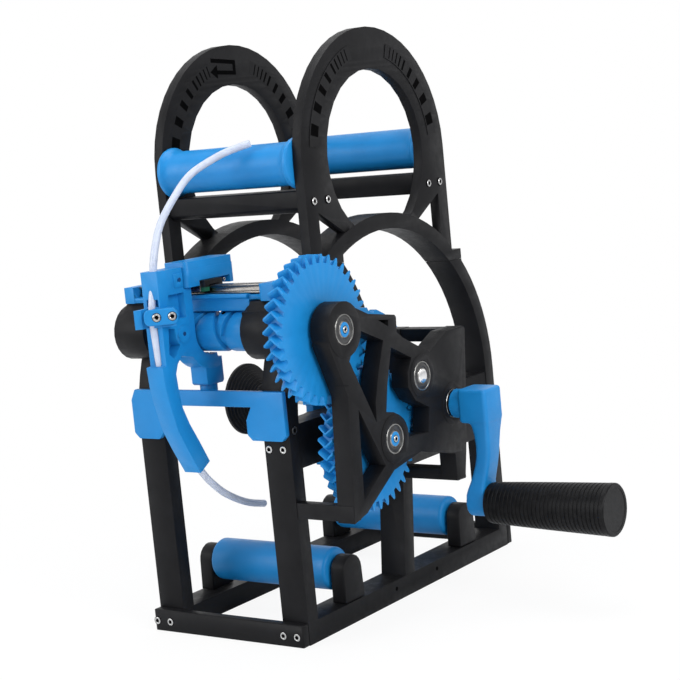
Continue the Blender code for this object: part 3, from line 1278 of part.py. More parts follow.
def make_rail():
    """Beam over the drum, with the linear rail on it and the runner that slides there."""
    centre = DRUM_Y
    shoulder = BEAM_FLANGE_Z + BEAM_FLANGE_CHAMFER
    outline = [(centre - BEAM_BODY_HALF, BEAM_BOTTOM_Z), (centre + BEAM_BODY_HALF, BEAM_BOTTOM_Z),
               (centre + BEAM_BODY_HALF, BEAM_FLANGE_Z), (centre + BEAM_FLANGE_HALF, shoulder),
               (centre + BEAM_FLANGE_HALF, BEAM_TOP_Z), (centre - BEAM_FLANGE_HALF, BEAM_TOP_Z),
               (centre - BEAM_FLANGE_HALF, shoulder), (centre - BEAM_BODY_HALF, BEAM_FLANGE_Z)]
    beam = sheet("rail_beam", [outline], "X", DRUM_START_X, DRUM_END_X)
    front = centre - BEAM_BLOCK_HALF
    back = centre + BEAM_BLOCK_HALF
    plan = [(BEAM_BLOCK_RIGHT_X, front + BEAM_BLOCK_CHAMFER),
            (BEAM_BLOCK_RIGHT_X + BEAM_BLOCK_CHAMFER, front), (BEAM_END_X, front),
            (BEAM_END_X, back), (BEAM_BLOCK_RIGHT_X, back)]
    join(beam, sheet("beam_block_right", [plan], "Z", BEAM_BLOCK_BOTTOM_Z, BEAM_BLOCK_TOP_Z))
    join(beam, block("beam_block_left", (BEAM_START_X, front, BEAM_BLOCK_BOTTOM_Z),
                     (BEAM_BLOCK_LEFT_X, back, BEAM_BLOCK_TOP_Z)))
    join(beam, block("beam_shelf",
                     (BEAM_BLOCK_LEFT_X - SOFT_EDGE, front + SMALL_EDGE,
                      BEAM_BLOCK_BOTTOM_Z + SMALL_EDGE / 2),
                     (BEAM_SHELF_END_X, back - SMALL_EDGE, DRUM_Z + BEAM_SHELF_RISE)))
    tongue_low = BEAM_BLOCK_BOTTOM_Z + SMALL_EDGE
    tongue_high = BEAM_TOP_Z - SMALL_EDGE
    join(beam, block("beam_tongue",
                     (BEAM_BLOCK_LEFT_X - SOFT_EDGE, centre - BEAM_BODY_HALF + SMALL_EDGE,
                      tongue_low),
                     (BEAM_BLOCK_RIGHT_X + SOFT_EDGE, centre + BEAM_BODY_HALF - SMALL_EDGE,
                      tongue_high)))
    finish(beam, "blue_plastic")
    waist_low = RAIL_BASE_Z + RAIL_HEIGHT * HALF_SHARE - SOFT_EDGE
    waist_high = waist_low + SOFT_EDGE * 2
    section = [(centre - RAIL_HALF, RAIL_BASE_Z), (centre + RAIL_HALF, RAIL_BASE_Z),
               (centre + RAIL_HALF, waist_low - SMALL_EDGE), (centre + RAIL_WAIST_HALF, waist_low),
               (centre + RAIL_WAIST_HALF, waist_high), (centre + RAIL_HALF, waist_high + SMALL_EDGE),
               (centre + RAIL_HALF, RAIL_TOP_Z), (centre - RAIL_HALF, RAIL_TOP_Z),
               (centre - RAIL_HALF, waist_high + SMALL_EDGE), (centre - RAIL_WAIST_HALF, waist_high),
               (centre - RAIL_WAIST_HALF, waist_low), (centre - RAIL_HALF, waist_low - SMALL_EDGE)]
    rail = sheet("linear_rail", [section], "X", BEAM_BLOCK_LEFT_X + RAIL_END_GAP,
                 BEAM_BLOCK_RIGHT_X - RAIL_END_GAP)
    finish(rail, "rail_steel")
    make_runner(centre)


def runner_section(centre):
    """Cross-section of the runner: a block with a channel over the rail."""
    gap = RAIL_HALF + RUNNER_GROOVE_GAP
    roof = RAIL_TOP_Z + RUNNER_GROOVE_GAP
    return [(centre - RUNNER_HALF_WIDTH, RUNNER_BOTTOM_Z), (centre - gap, RUNNER_BOTTOM_Z),
            (centre - gap, roof), (centre + gap, roof), (centre + gap, RUNNER_BOTTOM_Z),
            (centre + RUNNER_HALF_WIDTH, RUNNER_BOTTOM_Z),
            (centre + RUNNER_HALF_WIDTH, RUNNER_TOP_Z), (centre - RUNNER_HALF_WIDTH,
                                                         RUNNER_TOP_Z)]


def make_runner(centre):
    body = RUNNER_HALF_LENGTH - RUNNER_CAP_LENGTH - SEAT
    runner = sheet("rail_runner", [runner_section(centre)], "X", CARRIAGE_X - body,
                   CARRIAGE_X + body)
    finish(runner, "rail_steel")
    for label, side in (("left", -1), ("right", 1)):
        near = CARRIAGE_X + side * (RUNNER_HALF_LENGTH - RUNNER_CAP_LENGTH)
        far = CARRIAGE_X + side * RUNNER_HALF_LENGTH
        cap = sheet("runner_seal_" + label, [runner_section(centre)], "X",
                    *sorted((near, far)))
        finish(cap, "seal_plastic")


def make_carriage():
    """Body that holds the tube: head, guide arm and collar in one outline, then its details."""
    low_x = CARRIAGE_X - CARRIAGE_HALF
    high_x = CARRIAGE_X + CARRIAGE_HALF
    outline = shares_at(CARRIAGE_SHARES, DRUM_AXIS, CARRIAGE_SPAN)
    outline += arc(DRUM_AXIS, COLLAR_OUTER_RADIUS, COLLAR_START_ANGLE, COLLAR_END_ANGLE)
    outline += arc(DRUM_AXIS, COLLAR_INNER_RADIUS, COLLAR_END_ANGLE, 180.0)
    outline += shares_at(SHOULDER_SHARES, DRUM_AXIS, CARRIAGE_SPAN)
    body = sheet("carriage_body", [outline], "X", low_x, high_x)
    add_follower_housing(body)
    plan = shares_at(CLAMP_SEAT_SHARES, (CARRIAGE_X, DRUM_Y), CARRIAGE_SPAN)
    join(body, sheet("clamp_seat", [plan], "Z", DRUM_Z + CLAMP_SEAT_LOW_RISE,
                     DRUM_Z + CLAMP_SEAT_HIGH_RISE))
    add_pads(body, high_x)
    recess = shares_at(RECESS_SHARES, DRUM_AXIS, CARRIAGE_SPAN)
    hollow = shares_at(HOLLOW_SHARES, DRUM_AXIS, CARRIAGE_SPAN)
    cut(body, sheet("recess", [recess], "X", high_x - RECESS_DEPTH, high_x + SOFT_EDGE))
    cut(body, sheet("hollow", [hollow], "X", high_x - HOLLOW_DEPTH, high_x + SOFT_EDGE))
    way = wire("tube_way", smooth_route(extended(from_drum(HELD_ROUTE)), TUBE_RADIUS * 3),
               TUBE_RADIUS + TUBE_BORE_GAP)
    cut(body, baked("tube_way", way))
    front = outline[0][0]
    cut(body, block("tube_groove",
                    (CARRIAGE_X - GROOVE_HALF, front - GROOVE_REACH, DRUM_Z - GROOVE_DROP),
                    (CARRIAGE_X + GROOVE_HALF, front + GROOVE_HALF,
                     DRUM_Z + NOTCH_BOTTOM_RISE + SOFT_EDGE)))
    cut(body, block("tube_notch",
                    (CARRIAGE_X - NOTCH_LEFT, front - SOFT_EDGE, DRUM_Z + NOTCH_BOTTOM_RISE),
                    (CARRIAGE_X + NOTCH_RIGHT, front + NOTCH_DEPTH, DRUM_Z + NOTCH_TOP_RISE)))
    finish(body, "blue_plastic")


def add_follower_housing(body):
    """Square housing under the collar, open from below for the follower."""
    top = FOLLOWER_HOUSING_TOP_Z
    bottom = FOLLOWER_HOUSING_BOTTOM_Z
    edge = bottom + SOFT_EDGE
    inner = FOLLOWER_HALF_Y - SOFT_EDGE
    section = [(DRUM_Y - FOLLOWER_HALF_Y, top), (DRUM_Y - FOLLOWER_HALF_Y, edge),
               (DRUM_Y - inner, bottom), (DRUM_Y + inner, bottom),
               (DRUM_Y + FOLLOWER_HALF_Y, edge), (DRUM_Y + FOLLOWER_HALF_Y, top)]
    join(body, sheet("follower_housing", [section], "X", CARRIAGE_X - FOLLOWER_HALF_X,
                     CARRIAGE_X + FOLLOWER_HALF_X))
    cut(body, rod("follower_way", "Z", (CARRIAGE_X, DRUM_Y), FOLLOWER_BORE, bottom - SOFT_EDGE,
                  DRUM_Z, SMALL_STEPS))


def add_pads(body, face_x):
    """Raised pads on the right face, one square and one round, each with a hole."""
    upper = shares_at(UPPER_PAD_SHARES, DRUM_AXIS, CARRIAGE_SPAN)[0]
    lower = shares_at(LOWER_PAD_SHARES, DRUM_AXIS, CARRIAGE_SPAN)[0]
    square = [(upper[0] - PAD_HALF, upper[1] - PAD_HALF),
              (upper[0] + PAD_HALF, upper[1] - PAD_HALF),
              (upper[0] + PAD_HALF, upper[1] + PAD_HALF),
              (upper[0] - PAD_HALF, upper[1] + PAD_HALF)]
    join(body, sheet("upper_pad", [square], "X", face_x - SOFT_EDGE, face_x + PAD_RISE))
    join(body, rod("lower_pad", "X", lower, PAD_RADIUS, face_x - SOFT_EDGE, face_x + PAD_RISE))
    for label, centre in (("upper", upper), ("lower", lower)):
        cut(body, rod(label + "_pad_hole", "X", centre, PAD_HOLE_RADIUS,
                      face_x - PAD_HOLE_DEPTH, face_x + SOFT_EDGE, SMALL_STEPS))


def rounded_plan(low, high, radius):
    """Rectangle with round corners, counterclockwise from its first corner."""
    points = []
    for centre, start in (((low[0] + radius, low[1] + radius), 180.0),
                          ((high[0] - radius, low[1] + radius), 270.0),
                          ((high[0] - radius, high[1] - radius), 0.0),
                          ((low[0] + radius, high[1] - radius), 90.0)):
        points += arc(centre, radius, start, start + 90.0, ARC_STEPS // 2)
    return points


def make_cover():
    """Cover over the runner, with a lid on top and a skirt at the front and the back."""
    low = (CARRIAGE_X - COVER_HALF, DRUM_Y - COVER_FRONT_REACH)
    high = (CARRIAGE_X + COVER_HALF, DRUM_Y + COVER_BACK_REACH)
    seam = DRUM_Z + COVER_SEAM_RISE
    bottom = DRUM_Z + COVER_BACK_SKIRT_RISE
    under = RUNNER_TOP_Z + SEAT
    front_under = DRUM_Z + COVER_FRONT_SKIRT_RISE
    inset = COVER_LID_INSET
    cover = sheet("carriage_cover", [rounded_plan(low, high, COVER_CORNER)], "Z", bottom, seam)
    lid = rounded_plan((low[0] + inset, low[1] + inset), (high[0] - inset, high[1] - inset),
                       COVER_CORNER - inset)
    join(cover, sheet("cover_lid", [lid], "Z", seam - SOFT_EDGE, DRUM_Z + COVER_TOP_RISE))
    left = low[0] - SOFT_EDGE
    right = high[0] + SOFT_EDGE
    below = bottom - SOFT_EDGE
    skirt = low[1] + COVER_FRONT_SKIRT
    cut(cover, block("cover_tunnel", (left, skirt, below),
                     (right, high[1] - COVER_BACK_SKIRT, under)))
    cut(cover, block("cover_front_cut", (left, low[1] - SOFT_EDGE, below - SMALL_EDGE),
                     (right, skirt + SOFT_EDGE, front_under)))
    top = DRUM_Z + COVER_TOP_RISE
    cut(cover, rod("cover_hole", "Z", (CARRIAGE_X, DRUM_Y - COVER_HOLE_REACH),
                   COVER_HOLE_RADIUS, top - COVER_HOLE_DEPTH, top + SOFT_EDGE, SMALL_STEPS))
    finish(cover, "blue_plastic")


def from_drum(route):
    """Places of a route whose points are measured from the drum's axis."""
    return [(x, DRUM_Y + y, DRUM_Z + z) for x, y, z in route]


def extended(route):
    """A held route drawn on a little past both its ends."""
    first = Vector(route[0]) * 2 - Vector(route[1])
    last = Vector(route[-1]) * 2 - Vector(route[-2])
    return [tuple(first)] + list(route) + [tuple(last)]


def make_clamp():
    """Plate that closes the tube's groove, turned to face the front right."""
    clamp = block("tube_clamp", (-CLAMP_HALF, -CLAMP_THICKNESS / 2, -CLAMP_HALF_HEIGHT),
                  (CLAMP_HALF, CLAMP_THICKNESS / 2, CLAMP_HALF_HEIGHT), SMALL_EDGE, 2)
    middle = shares_at(CLAMP_SHARES, (CARRIAGE_X, DRUM_Y), CARRIAGE_SPAN)[0]
    turn = Matrix.Rotation(math.radians(CLAMP_ANGLE), 4, "Z")
    clamp.matrix_world = Matrix.Translation((*middle, DRUM_Z + CLAMP_RISE)) @ turn
    finish(clamp, "blue_plastic")


def make_follower():
    """Follower that is let into its housing from below, its blade just short of the drum."""
    blade_top = DRUM_Z - DRUM_RADIUS - FOLLOWER_BLADE_GAP
    shoulder = FOLLOWER_HOUSING_TOP_Z
    base = FOLLOWER_HOUSING_BOTTOM_Z - SEAT
    cap = base - FOLLOWER_CAP_LENGTH
    profile = [(0.0, blade_top), (FOLLOWER_BLADE_RADIUS, blade_top),
               (FOLLOWER_BLADE_RADIUS, shoulder), (FOLLOWER_PIN_RADIUS, shoulder),
               (FOLLOWER_PIN_RADIUS, base), (FOLLOWER_NECK_RADIUS, base),
               (FOLLOWER_NECK_RADIUS, cap), (0.0, cap)]
    follower = turned("drum_follower", profile, "Z", (CARRIAGE_X, DRUM_Y), SMALL_STEPS)
    finish(follower, "blue_plastic")


def make_gauge():
    """Flat bar across the front legs, with a plate at each end."""
    outline = shares_at(GAUGE_SHARES, (0.0, RING_Z), HALF_WIDTH)
    back = -RING_RADIUS - SEAT
    gauge = sheet("gauge_bar", [outline], "Y", back - GAUGE_THICKNESS, back)
    finish(gauge, "blue_plastic")


def make_tube():
    """White guide tube: two free stretches and the one that the carriage holds."""
    spacing = TUBE_RADIUS * 5
    for name, route in (("tube_upper", UPPER_ROUTE), ("tube_lower", LOWER_ROUTE),
                        ("tube_held", HELD_ROUTE)):
        tube = wire(name, smooth_route(from_drum(route), spacing), TUBE_RADIUS)
        set_origin_of_curve(tube)
        finish(tube, "tube_plastic")


def set_origin_of_curve(tube):
    """Origin at the tube's first point."""
    first = Vector(tube.data.splines[0].points[0].co[:3])
    tube.data.transform(Matrix.Translation(-first))
    tube.location = first


def shade(obj):
    if obj.type != "MESH":
        return
    obj.data.shade_smooth()
    obj.data.set_sharp_from_angle(angle=math.radians(35.0))


def carry(pieces):
    """Hang every piece on one empty that moves the origin under the front base bar."""
    machine = bpy.data.objects.new("machine", None)
    PARTS.objects.link(machine)
    machine.location.y = RING_RADIUS + SEAT + BAR_THICKNESS / 2
    for obj in pieces:
        obj.parent = machine


def build():
    make_base_bar("base_bar_front", -1)
    make_base_bar("base_bar_rear", 1)
    for label, side in (("left", -1), ("right", 1)):
        make_side_frame("side_frame_" + label, side)
        make_upper_frame("upper_frame_" + label, side)
        make_bracket("bracket_front_" + label, side, -1)
        make_bracket("bracket_rear_" + label, side, 1)
    for label, side in (("front", -1), ("rear", 1)):
        make_crossbar("crossbar_" + label, side)
        make_top_roller("roller_top_" + label, side)
        make_low_roller("roller_low_" + label, side)
    make_gear_plate()
    make_gears()
    make_bearings()
    make_drum()
    make_spool_shaft()
    make_crank()
    make_rail()
    make_carriage()
    make_cover()
    make_clamp()
    make_follower()
    make_gauge()
    make_tube()
    pieces = list(PARTS.objects) + list(CUTTERS.objects)
    for obj in pieces:
        shade(obj)
    carry(pieces)
    bpy.context.view_layer.update()


build()
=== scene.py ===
"""Looks of the filament spool winder: printed plastics, bearings, screws, the linear rail
and the white guide tube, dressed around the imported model. Metres throughout."""

import json
import math

import bmesh
import bpy
from mathutils import Matrix, Vector


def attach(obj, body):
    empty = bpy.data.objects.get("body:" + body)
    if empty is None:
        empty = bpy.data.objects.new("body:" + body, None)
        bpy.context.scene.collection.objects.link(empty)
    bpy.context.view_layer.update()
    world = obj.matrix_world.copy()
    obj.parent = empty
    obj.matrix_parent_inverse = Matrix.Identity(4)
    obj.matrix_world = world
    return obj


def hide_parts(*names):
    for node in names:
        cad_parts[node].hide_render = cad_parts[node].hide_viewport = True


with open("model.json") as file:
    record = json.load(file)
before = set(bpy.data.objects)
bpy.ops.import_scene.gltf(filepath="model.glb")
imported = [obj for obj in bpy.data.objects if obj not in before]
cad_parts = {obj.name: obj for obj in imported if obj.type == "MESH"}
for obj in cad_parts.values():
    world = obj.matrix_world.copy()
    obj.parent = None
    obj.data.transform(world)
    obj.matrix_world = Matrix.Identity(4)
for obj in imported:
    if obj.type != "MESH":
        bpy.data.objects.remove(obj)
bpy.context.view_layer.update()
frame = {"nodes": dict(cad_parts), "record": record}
NODES = frame["nodes"]

# The camera's pose and field, for an image 680 pixels square
CAMERA_SPOT = (0.7901, -0.9143, 0.3659)
CAMERA_YAW = 0.6292
CAMERA_PITCH = 0.1274
CAMERA_ROLL = 0.0968
CAMERA_LENS = 89.46

# Colours
BLACK_DARK = (0.0050, 0.0050, 0.0058)
BLACK_LIGHT = (0.0090, 0.0090, 0.0102)
RUBBER_DARK = (0.0040, 0.0040, 0.0046)
RUBBER_LIGHT = (0.0090, 0.0090, 0.0096)
BLUE_DARK = (0.0080, 0.1950, 0.5000)
BLUE_LIGHT = (0.0120, 0.2300, 0.5700)
STEEL_DARK = (0.36, 0.36, 0.36)
STEEL_LIGHT = (0.60, 0.60, 0.59)
RAIL_DARK = (0.09, 0.085, 0.08)
RAIL_LIGHT = (0.30, 0.29, 0.275)
SHIELD_DARK = (0.012, 0.012, 0.013)
SHIELD_LIGHT = (0.028, 0.028, 0.029)
POLISHED_DARK = (0.80, 0.80, 0.80)
POLISHED_LIGHT = (0.95, 0.95, 0.95)
RACE_DARK = (0.16, 0.16, 0.155)
RACE_LIGHT = (0.34, 0.335, 0.32)
# Painted shade for holes, slots, screw sockets, the rings around screw heads and the arrow; this
# near-black pair also draws the gear plate's seam, a dark joint
PAINTED_SHADE_AND_SEAM_DARK = (0.0008, 0.0008, 0.0009)
PAINTED_SHADE_AND_SEAM_LIGHT = (0.0020, 0.0020, 0.0022)
# Painted shade in the holes of blue plastic
PAINTED_SHADE_BLUE_DARK = (0.0030, 0.0300, 0.1100)
PAINTED_SHADE_BLUE_LIGHT = (0.0050, 0.0450, 0.1500)
TUBE_DARK = (0.47, 0.52, 0.64)
TUBE_LIGHT = (0.54, 0.59, 0.70)
SEAL_DARK = (0.006, 0.075, 0.040)
SEAL_LIGHT = (0.010, 0.110, 0.058)

# Sizes of the model that its pieces here share
EDGE = 0.0004
EDGE_ANGLE = 38.0
SHARP_ANGLE = 32.0
WELD_GAP = 0.00001
WIDE_EDGES = {"carriage_cover": 0.0012, "carriage_body": 0.0007, "gauge_bar": 0.0006,
              "rail_beam": 0.0006, "gear_plate": 0.0007, "tube_clamp": 0.0008}
SEAL_SPLIT_Z = 0.2590
SIDES = 96
CRANK_Y, CRANK_Z = -0.0020, 0.1500
DRUM_Y, DRUM_Z = -0.1325, 0.2262
IDLER_Y, IDLER_Z = -0.08389, 0.13996
SPARE_Y, SPARE_Z = -0.0415, 0.1779
GRIP_START_X, GRIP_LENGTH, GRIP_Z = 0.1457, 0.1013, 0.0750
GRIP_START_RADIUS, GRIP_END_RADIUS, GRIP_RIBS = 0.0152, 0.0193, 28
CONE_START_X, CONE_LENGTH, CONE_BORE = -0.0800, 0.0200, 0.0043
CONE_RADIUS, CONE_TIP_RADIUS = 0.0290, 0.0140
CONE_STEPS, CONE_RIM, CONE_TIP, CONE_NOTCH = 9, 0.0020, 0.0010, 0.0011

# Bearings: each race's bore, flat end and rim, the break at its rim, then where each one sits
BEARING_WIDTH = 0.0070
RACE_CORNER = 0.0005
OUTER_RACE = (0.0096, 0.0099, 0.0107, 0.0110, 0.0003)
INNER_RACE = (0.0042, 0.0048, 0.0056, 0.0060, 0.0005)
BEARINGS = [
    ("bearing_drum_outer", 0.1130, DRUM_Y, DRUM_Z),
    ("bearing_idler_outer", 0.1130, IDLER_Y, IDLER_Z),
    ("bearing_spare", 0.1130, SPARE_Y, SPARE_Z),
    ("bearing_crank_outer", 0.1130, CRANK_Y, CRANK_Z),
    ("bearing_drum_right", 0.0445, DRUM_Y, DRUM_Z),
    ("bearing_drum_left", -0.0536, DRUM_Y, DRUM_Z),
    ("bearing_crank_hub", 0.0655, CRANK_Y, CRANK_Z),
    ("bearing_idler_inner", 0.0810, IDLER_Y, IDLER_Z),
]

# Rollers: half the length, the radius of the lips if there are any, the axis and the body
ROLLER_RADIUS, ROLLER_BORE = 0.0160, 0.0044
ROLLERS = [
    ("roller_top_front", 0.0609, 0.0190, -0.0840, 0.3400, "top_front"),
    ("roller_top_rear", 0.0609, 0.0190, 0.0840, 0.3400, "top_rear"),
    ("roller_low_front", 0.0545, 0.0, -0.0810, 0.0390, "low_front"),
    ("roller_low_rear", 0.0545, 0.0, 0.0810, 0.0390, "low_rear"),
]

# Screws and drilled holes, on the faces that carry them; the holes, the screws' sockets and the
# rings around their heads are painted shade
SCREW_RADIUS, SCREW_RISE = 0.00275, 0.0006
HOLE_RADIUS = 0.0014
BAR_FACE_Y, BAR_SCREW_Z = 0.1490, 0.0078
BAR_SCREW_XS = (-0.0675, -0.0548, 0.0523, 0.0645)
FRAME_FACE_X, ARCH_INNER_X = 0.0700, 0.0615
ARCH_SCREW_YS, ARCH_SCREW_Z = (-0.0850, -0.0680, 0.0685, 0.0850), 0.3120
BASE_HOLE_YS, BASE_HOLE_Z = (-0.0280, 0.0300), 0.0095
LEG_SCREW_XS, LEG_FACE_Y, LEG_SCREW_Z = (0.0508, 0.0632), -0.1415, 0.1422
SIDE_BOLT_Y, SIDE_BOLT_Z, SIDE_BOLT_RADIUS = -0.1351, 0.1551, 0.0029
WASHER_X, WASHER_RADIUS, WASHER_THICKNESS = 0.1194, 0.0052, 0.0009
END_SCREW_RADIUS = 0.0024
PAD_HOLES = [("upper", -0.1697, 0.2681), ("lower", -0.1702, 0.2299)]
PAD_FACE_X, PAD_HOLE_RADIUS = 0.0090, 0.0013
SET_SCREW_SPOT, SET_SCREW_TOWARD = (0.0195, DRUM_Y - 0.0057, DRUM_Z + 0.0136), (0, -0.38, 0.92)
RUNNER_SCREW_X, RUNNER_SCREW_YS, RUNNER_SCREW_Z = 0.0042, (-0.1280, -0.1155), 0.2618
RUNNER_SCREW_RADIUS = 0.0012
CLAMP_SCREW_SHIFTS, CLAMP_SCREW_RADIUS = (-0.0030, 0.0080), 0.0028

# The gear plate's seam: a dark line on its face, a little off level
SEAM_SPOT = (0.1200, -0.1415, 0.1888)
SEAM_ACROSS, SEAM_UP = (0, 0.985, -0.17), (0, 0.17, 0.985)
SEAM_HALF_LENGTH, SEAM_HALF_WIDTH, SEAM_THICKNESS = 0.00725, 0.0001, 0.0002

# Marks on the upper frames, drawn in painted shade: angles from straight up with each slot's
# width, and the arrow
ARCH_Z = 0.3405
BAND_START, BAND_END, BAND_MARGIN, BAND_STEPS = 17.0, 83.0, 0.0010, 22
BAND_THICKNESS, SLOT_THICKNESS, ARROW_THICKNESS = 0.00010, 0.00016, 0.0003
SLOT_INNER, SLOT_MIDDLE, SLOT_OUTER = 0.0750, 0.0795, 0.0840
SLOTS = [(21.5, 0.0011), (24.8, 0.0012), (28.3, 0.0014), (31.9, 0.0017), (35.9, 0.0022),
         (43.0, 0.0037), (51.5, 0.0050), (62.0, 0.0066), (74.3, 0.0084)]
ARROW = [(-0.0250, 0.4250), (0.0050, 0.4230), (0.0050, 0.4115), (-0.0180, 0.4123),
         (-0.0180, 0.4090), (-0.0265, 0.4143), (-0.0180, 0.4195), (-0.0180, 0.4155),
         (0.0018, 0.4147), (0.0018, 0.4200), (-0.0250, 0.4218)]

# The clamp's plate, turned to face the front right
CLAMP_ANGLE = 39.73
CLAMP_SPOT = (0.00226, -0.18552, 0.2442)
CLAMP_HALF_LENGTH, CLAMP_HALF_HEIGHT, CLAMP_THICKNESS = 0.0119, 0.0057, 0.0040
CLAMP_CORNER, CLAMP_EDGE = 0.0042, 0.0007

# The rib under the rail's beam, and the stub in the spare bearing
RIB_START_X, RIB_END_X, RIB_HALF_DEPTH = -0.0455, 0.0415, 0.0060
RIB_THICKNESS, RIB_CORNER, RIB_Z = 0.0014, 0.0010, 0.2420
STUB_X, STUB_RADIUS = 0.1196, 0.0052

# Crank arm, downwards: height, where it starts and ends along X, half its width, its corners
HUB_START_X, HUB_LENGTH, HUB_RADIUS = 0.1208, 0.0102, 0.0110
CRANK_SECTIONS = [
    (0.16250, 0.1320, 0.1525, 0.0105, 0.0020), (0.16220, 0.1310, 0.1535, 0.0115, 0.0026),
    (0.16140, 0.1303, 0.1542, 0.0122, 0.0030), (0.16000, 0.1300, 0.1545, 0.0125, 0.0032),
    (0.14000, 0.1300, 0.1545, 0.0125, 0.0032), (0.13830, 0.1304, 0.1543, 0.0123, 0.0032),
    (0.13760, 0.1315, 0.1542, 0.0121, 0.0032), (0.13740, 0.1365, 0.1541, 0.0120, 0.0032),
    (0.13640, 0.1384, 0.1540, 0.0118, 0.0032), (0.13380, 0.1393, 0.1537, 0.0113, 0.0032),
    (0.12800, 0.1399, 0.1530, 0.0102, 0.0032), (0.12000, 0.1400, 0.1523, 0.0093, 0.0032),
    (0.11200, 0.1394, 0.1514, 0.0088, 0.0032), (0.10400, 0.1375, 0.1497, 0.0088, 0.0032),
    (0.09600, 0.1347, 0.1474, 0.0092, 0.0032), (0.09100, 0.1327, 0.1459, 0.0097, 0.0030),
    (0.08600, 0.1306, 0.1451, 0.0103, 0.0026), (0.08200, 0.1294, 0.1450, 0.0105, 0.0020),
    (0.07500, 0.1290, 0.1450, 0.0105, 0.0015), (0.07100, 0.1290, 0.1450, 0.0097, 0.0015),
    (0.06800, 0.1290, 0.1450, 0.0078, 0.0015), (0.06600, 0.1291, 0.1449, 0.0056, 0.0015),
    (0.06500, 0.1293, 0.1447, 0.0034, 0.0012), (0.06455, 0.1297, 0.1443, 0.0015, 0.0010),
]

# Routes of the tube, as the model has them; the held stretch is a hair thicker
ORIGIN_SHIFT = 0.1454
TUBE_RADIUS = 0.0027
HELD_EXTRA = 0.00001
UPPER_ROUTE = [
    (-0.0065, -0.1780, 0.2797), (-0.0065, -0.1745, 0.2905), (-0.0067, -0.1660, 0.3068),
    (-0.0062, -0.1490, 0.3242), (-0.0033, -0.1320, 0.3391), (0.0076, -0.1160, 0.3492),
    (0.0159, -0.1065, 0.3538), (0.0280, -0.0990, 0.3573),
]
LOWER_ROUTE = [
    (-0.0065, -0.1538, 0.1296), (-0.0065, -0.1455, 0.1198), (-0.0066, -0.1385, 0.1132),
    (-0.0070, -0.1280, 0.1050), (-0.0076, -0.1140, 0.0970), (-0.0083, -0.0980, 0.0900),
    (-0.0090, -0.0800, 0.0850),
]
HELD_ROUTE = [
    (-0.0065, -0.1764, 0.2845), (-0.0065, -0.1780, 0.2794), (-0.0065, -0.1795, 0.2700),
    (-0.0065, -0.1830, 0.2550), (-0.0065, -0.1848, 0.2430), (-0.0065, -0.1838, 0.2250),
    (-0.0065, -0.1822, 0.2050), (-0.0065, -0.1795, 0.1850), (-0.0065, -0.1728, 0.1640),
    (-0.0065, -0.1620, 0.1415), (-0.0065, -0.1540, 0.1299), (-0.0065, -0.1510, 0.1262),
]

# The studio: lamps as spot, target, side of the square and power
SOFT_COLOUR, SOFT_STRENGTH = (0.95, 0.97, 1.0, 1.0), 0.55
WHITE = (1.0, 1.0, 1.0, 1.0)
FLOOR_SIZE, FLOOR_SPOT = 3.0, (0.0, 0.15, -0.0004)
FLOOR_DARK, FLOOR_LIGHT = (0.90, 0.90, 0.905), (0.94, 0.94, 0.94)
FADE_LOW, FADE_HIGH, FADE_START, FADE_END = 0.90, 1.0, 0.22, 0.55
LAMPS = [
    ("key", (1.40, -0.35, 0.95), (0.0, 0.12, 0.2), 0.8, 14.0),
    ("front", (-0.75, -1.15, 0.75), (0.0, 0.10, 0.2), 0.8, 10.0),
    ("top", (0.0, 0.20, 1.50), (0.0, 0.15, 0.2), 1.0, 10.0),
]


class Graph:
    """Small helper that adds nodes to one material and wires them up."""

    def __init__(self, name):
        self.material = bpy.data.materials.new(name)
        self.material.use_nodes = True
        self.tree = self.material.node_tree
        self.shader = self.tree.nodes["Principled BSDF"]
        self.place = self.add("ShaderNodeTexCoord").outputs["Object"]

    def add(self, kind, links=None, **settings):
        """A node with its settings, fed by other nodes' sockets."""
        node = self.tree.nodes.new(kind)
        for key, value in settings.items():
            if key in node.inputs:
                node.inputs[key].default_value = value
            else:
                setattr(node, key, value)
        for key, socket in (links or {}).items():
            self.tree.links.new(socket, node.inputs[key])
        return node

    def noise(self, scale, detail=3.0, roughness=0.6, place=None):
        """Cloudy values over the surface."""
        node = self.add("ShaderNodeTexNoise", {"Vector": place or self.place},
                        Scale=scale, Detail=detail, Roughness=roughness)
        return node.outputs["Fac"]

    def stretched(self, amounts):
        """Places scaled along each axis, for marks that run one way."""
        node = self.add("ShaderNodeMapping", {"Vector": self.place}, Scale=amounts)
        return node.outputs["Vector"]

    def ramp(self, value, low, high, start=0.35, end=0.65):
        """Colours from low to high."""
        node = self.add("ShaderNodeValToRGB", {"Fac": value})
        node.color_ramp.elements[0].position = start
        node.color_ramp.elements[1].position = end
        node.color_ramp.elements[0].color = (*low, 1.0)
        node.color_ramp.elements[1].color = (*high, 1.0)
        return node.outputs["Color"]

    def levels(self, value, low, high, start=0.3, end=0.7):
        """Numbers from low to high."""
        node = self.add("ShaderNodeMapRange", {"Value": value})
        node.inputs["From Min"].default_value = start
        node.inputs["From Max"].default_value = end
        node.inputs["To Min"].default_value = low
        node.inputs["To Max"].default_value = high
        return node.outputs["Result"]

    def times(self, one, two):
        """Product of two values."""
        node = self.add("ShaderNodeMath", {0: one, 1: two}, operation="MULTIPLY")
        return node.outputs[0]

    def bump(self, height, distance, strength=1.0, normal=None):
        """Fine relief, on top of another one if there is any."""
        links = {"Height": height}
        if normal is not None:
            links["Normal"] = normal
        node = self.add("ShaderNodeBump", links, Distance=distance, Strength=strength)
        return node.outputs["Normal"]

    def set(self, **sockets):
        """Values and links of the shader; an underscore stands for a space."""
        for key, value in sockets.items():
            name = key.replace("_", " ")
            if isinstance(value, bpy.types.NodeSocket):
                self.tree.links.new(value, self.shader.inputs[name])
            else:
                self.shader.inputs[name].default_value = value


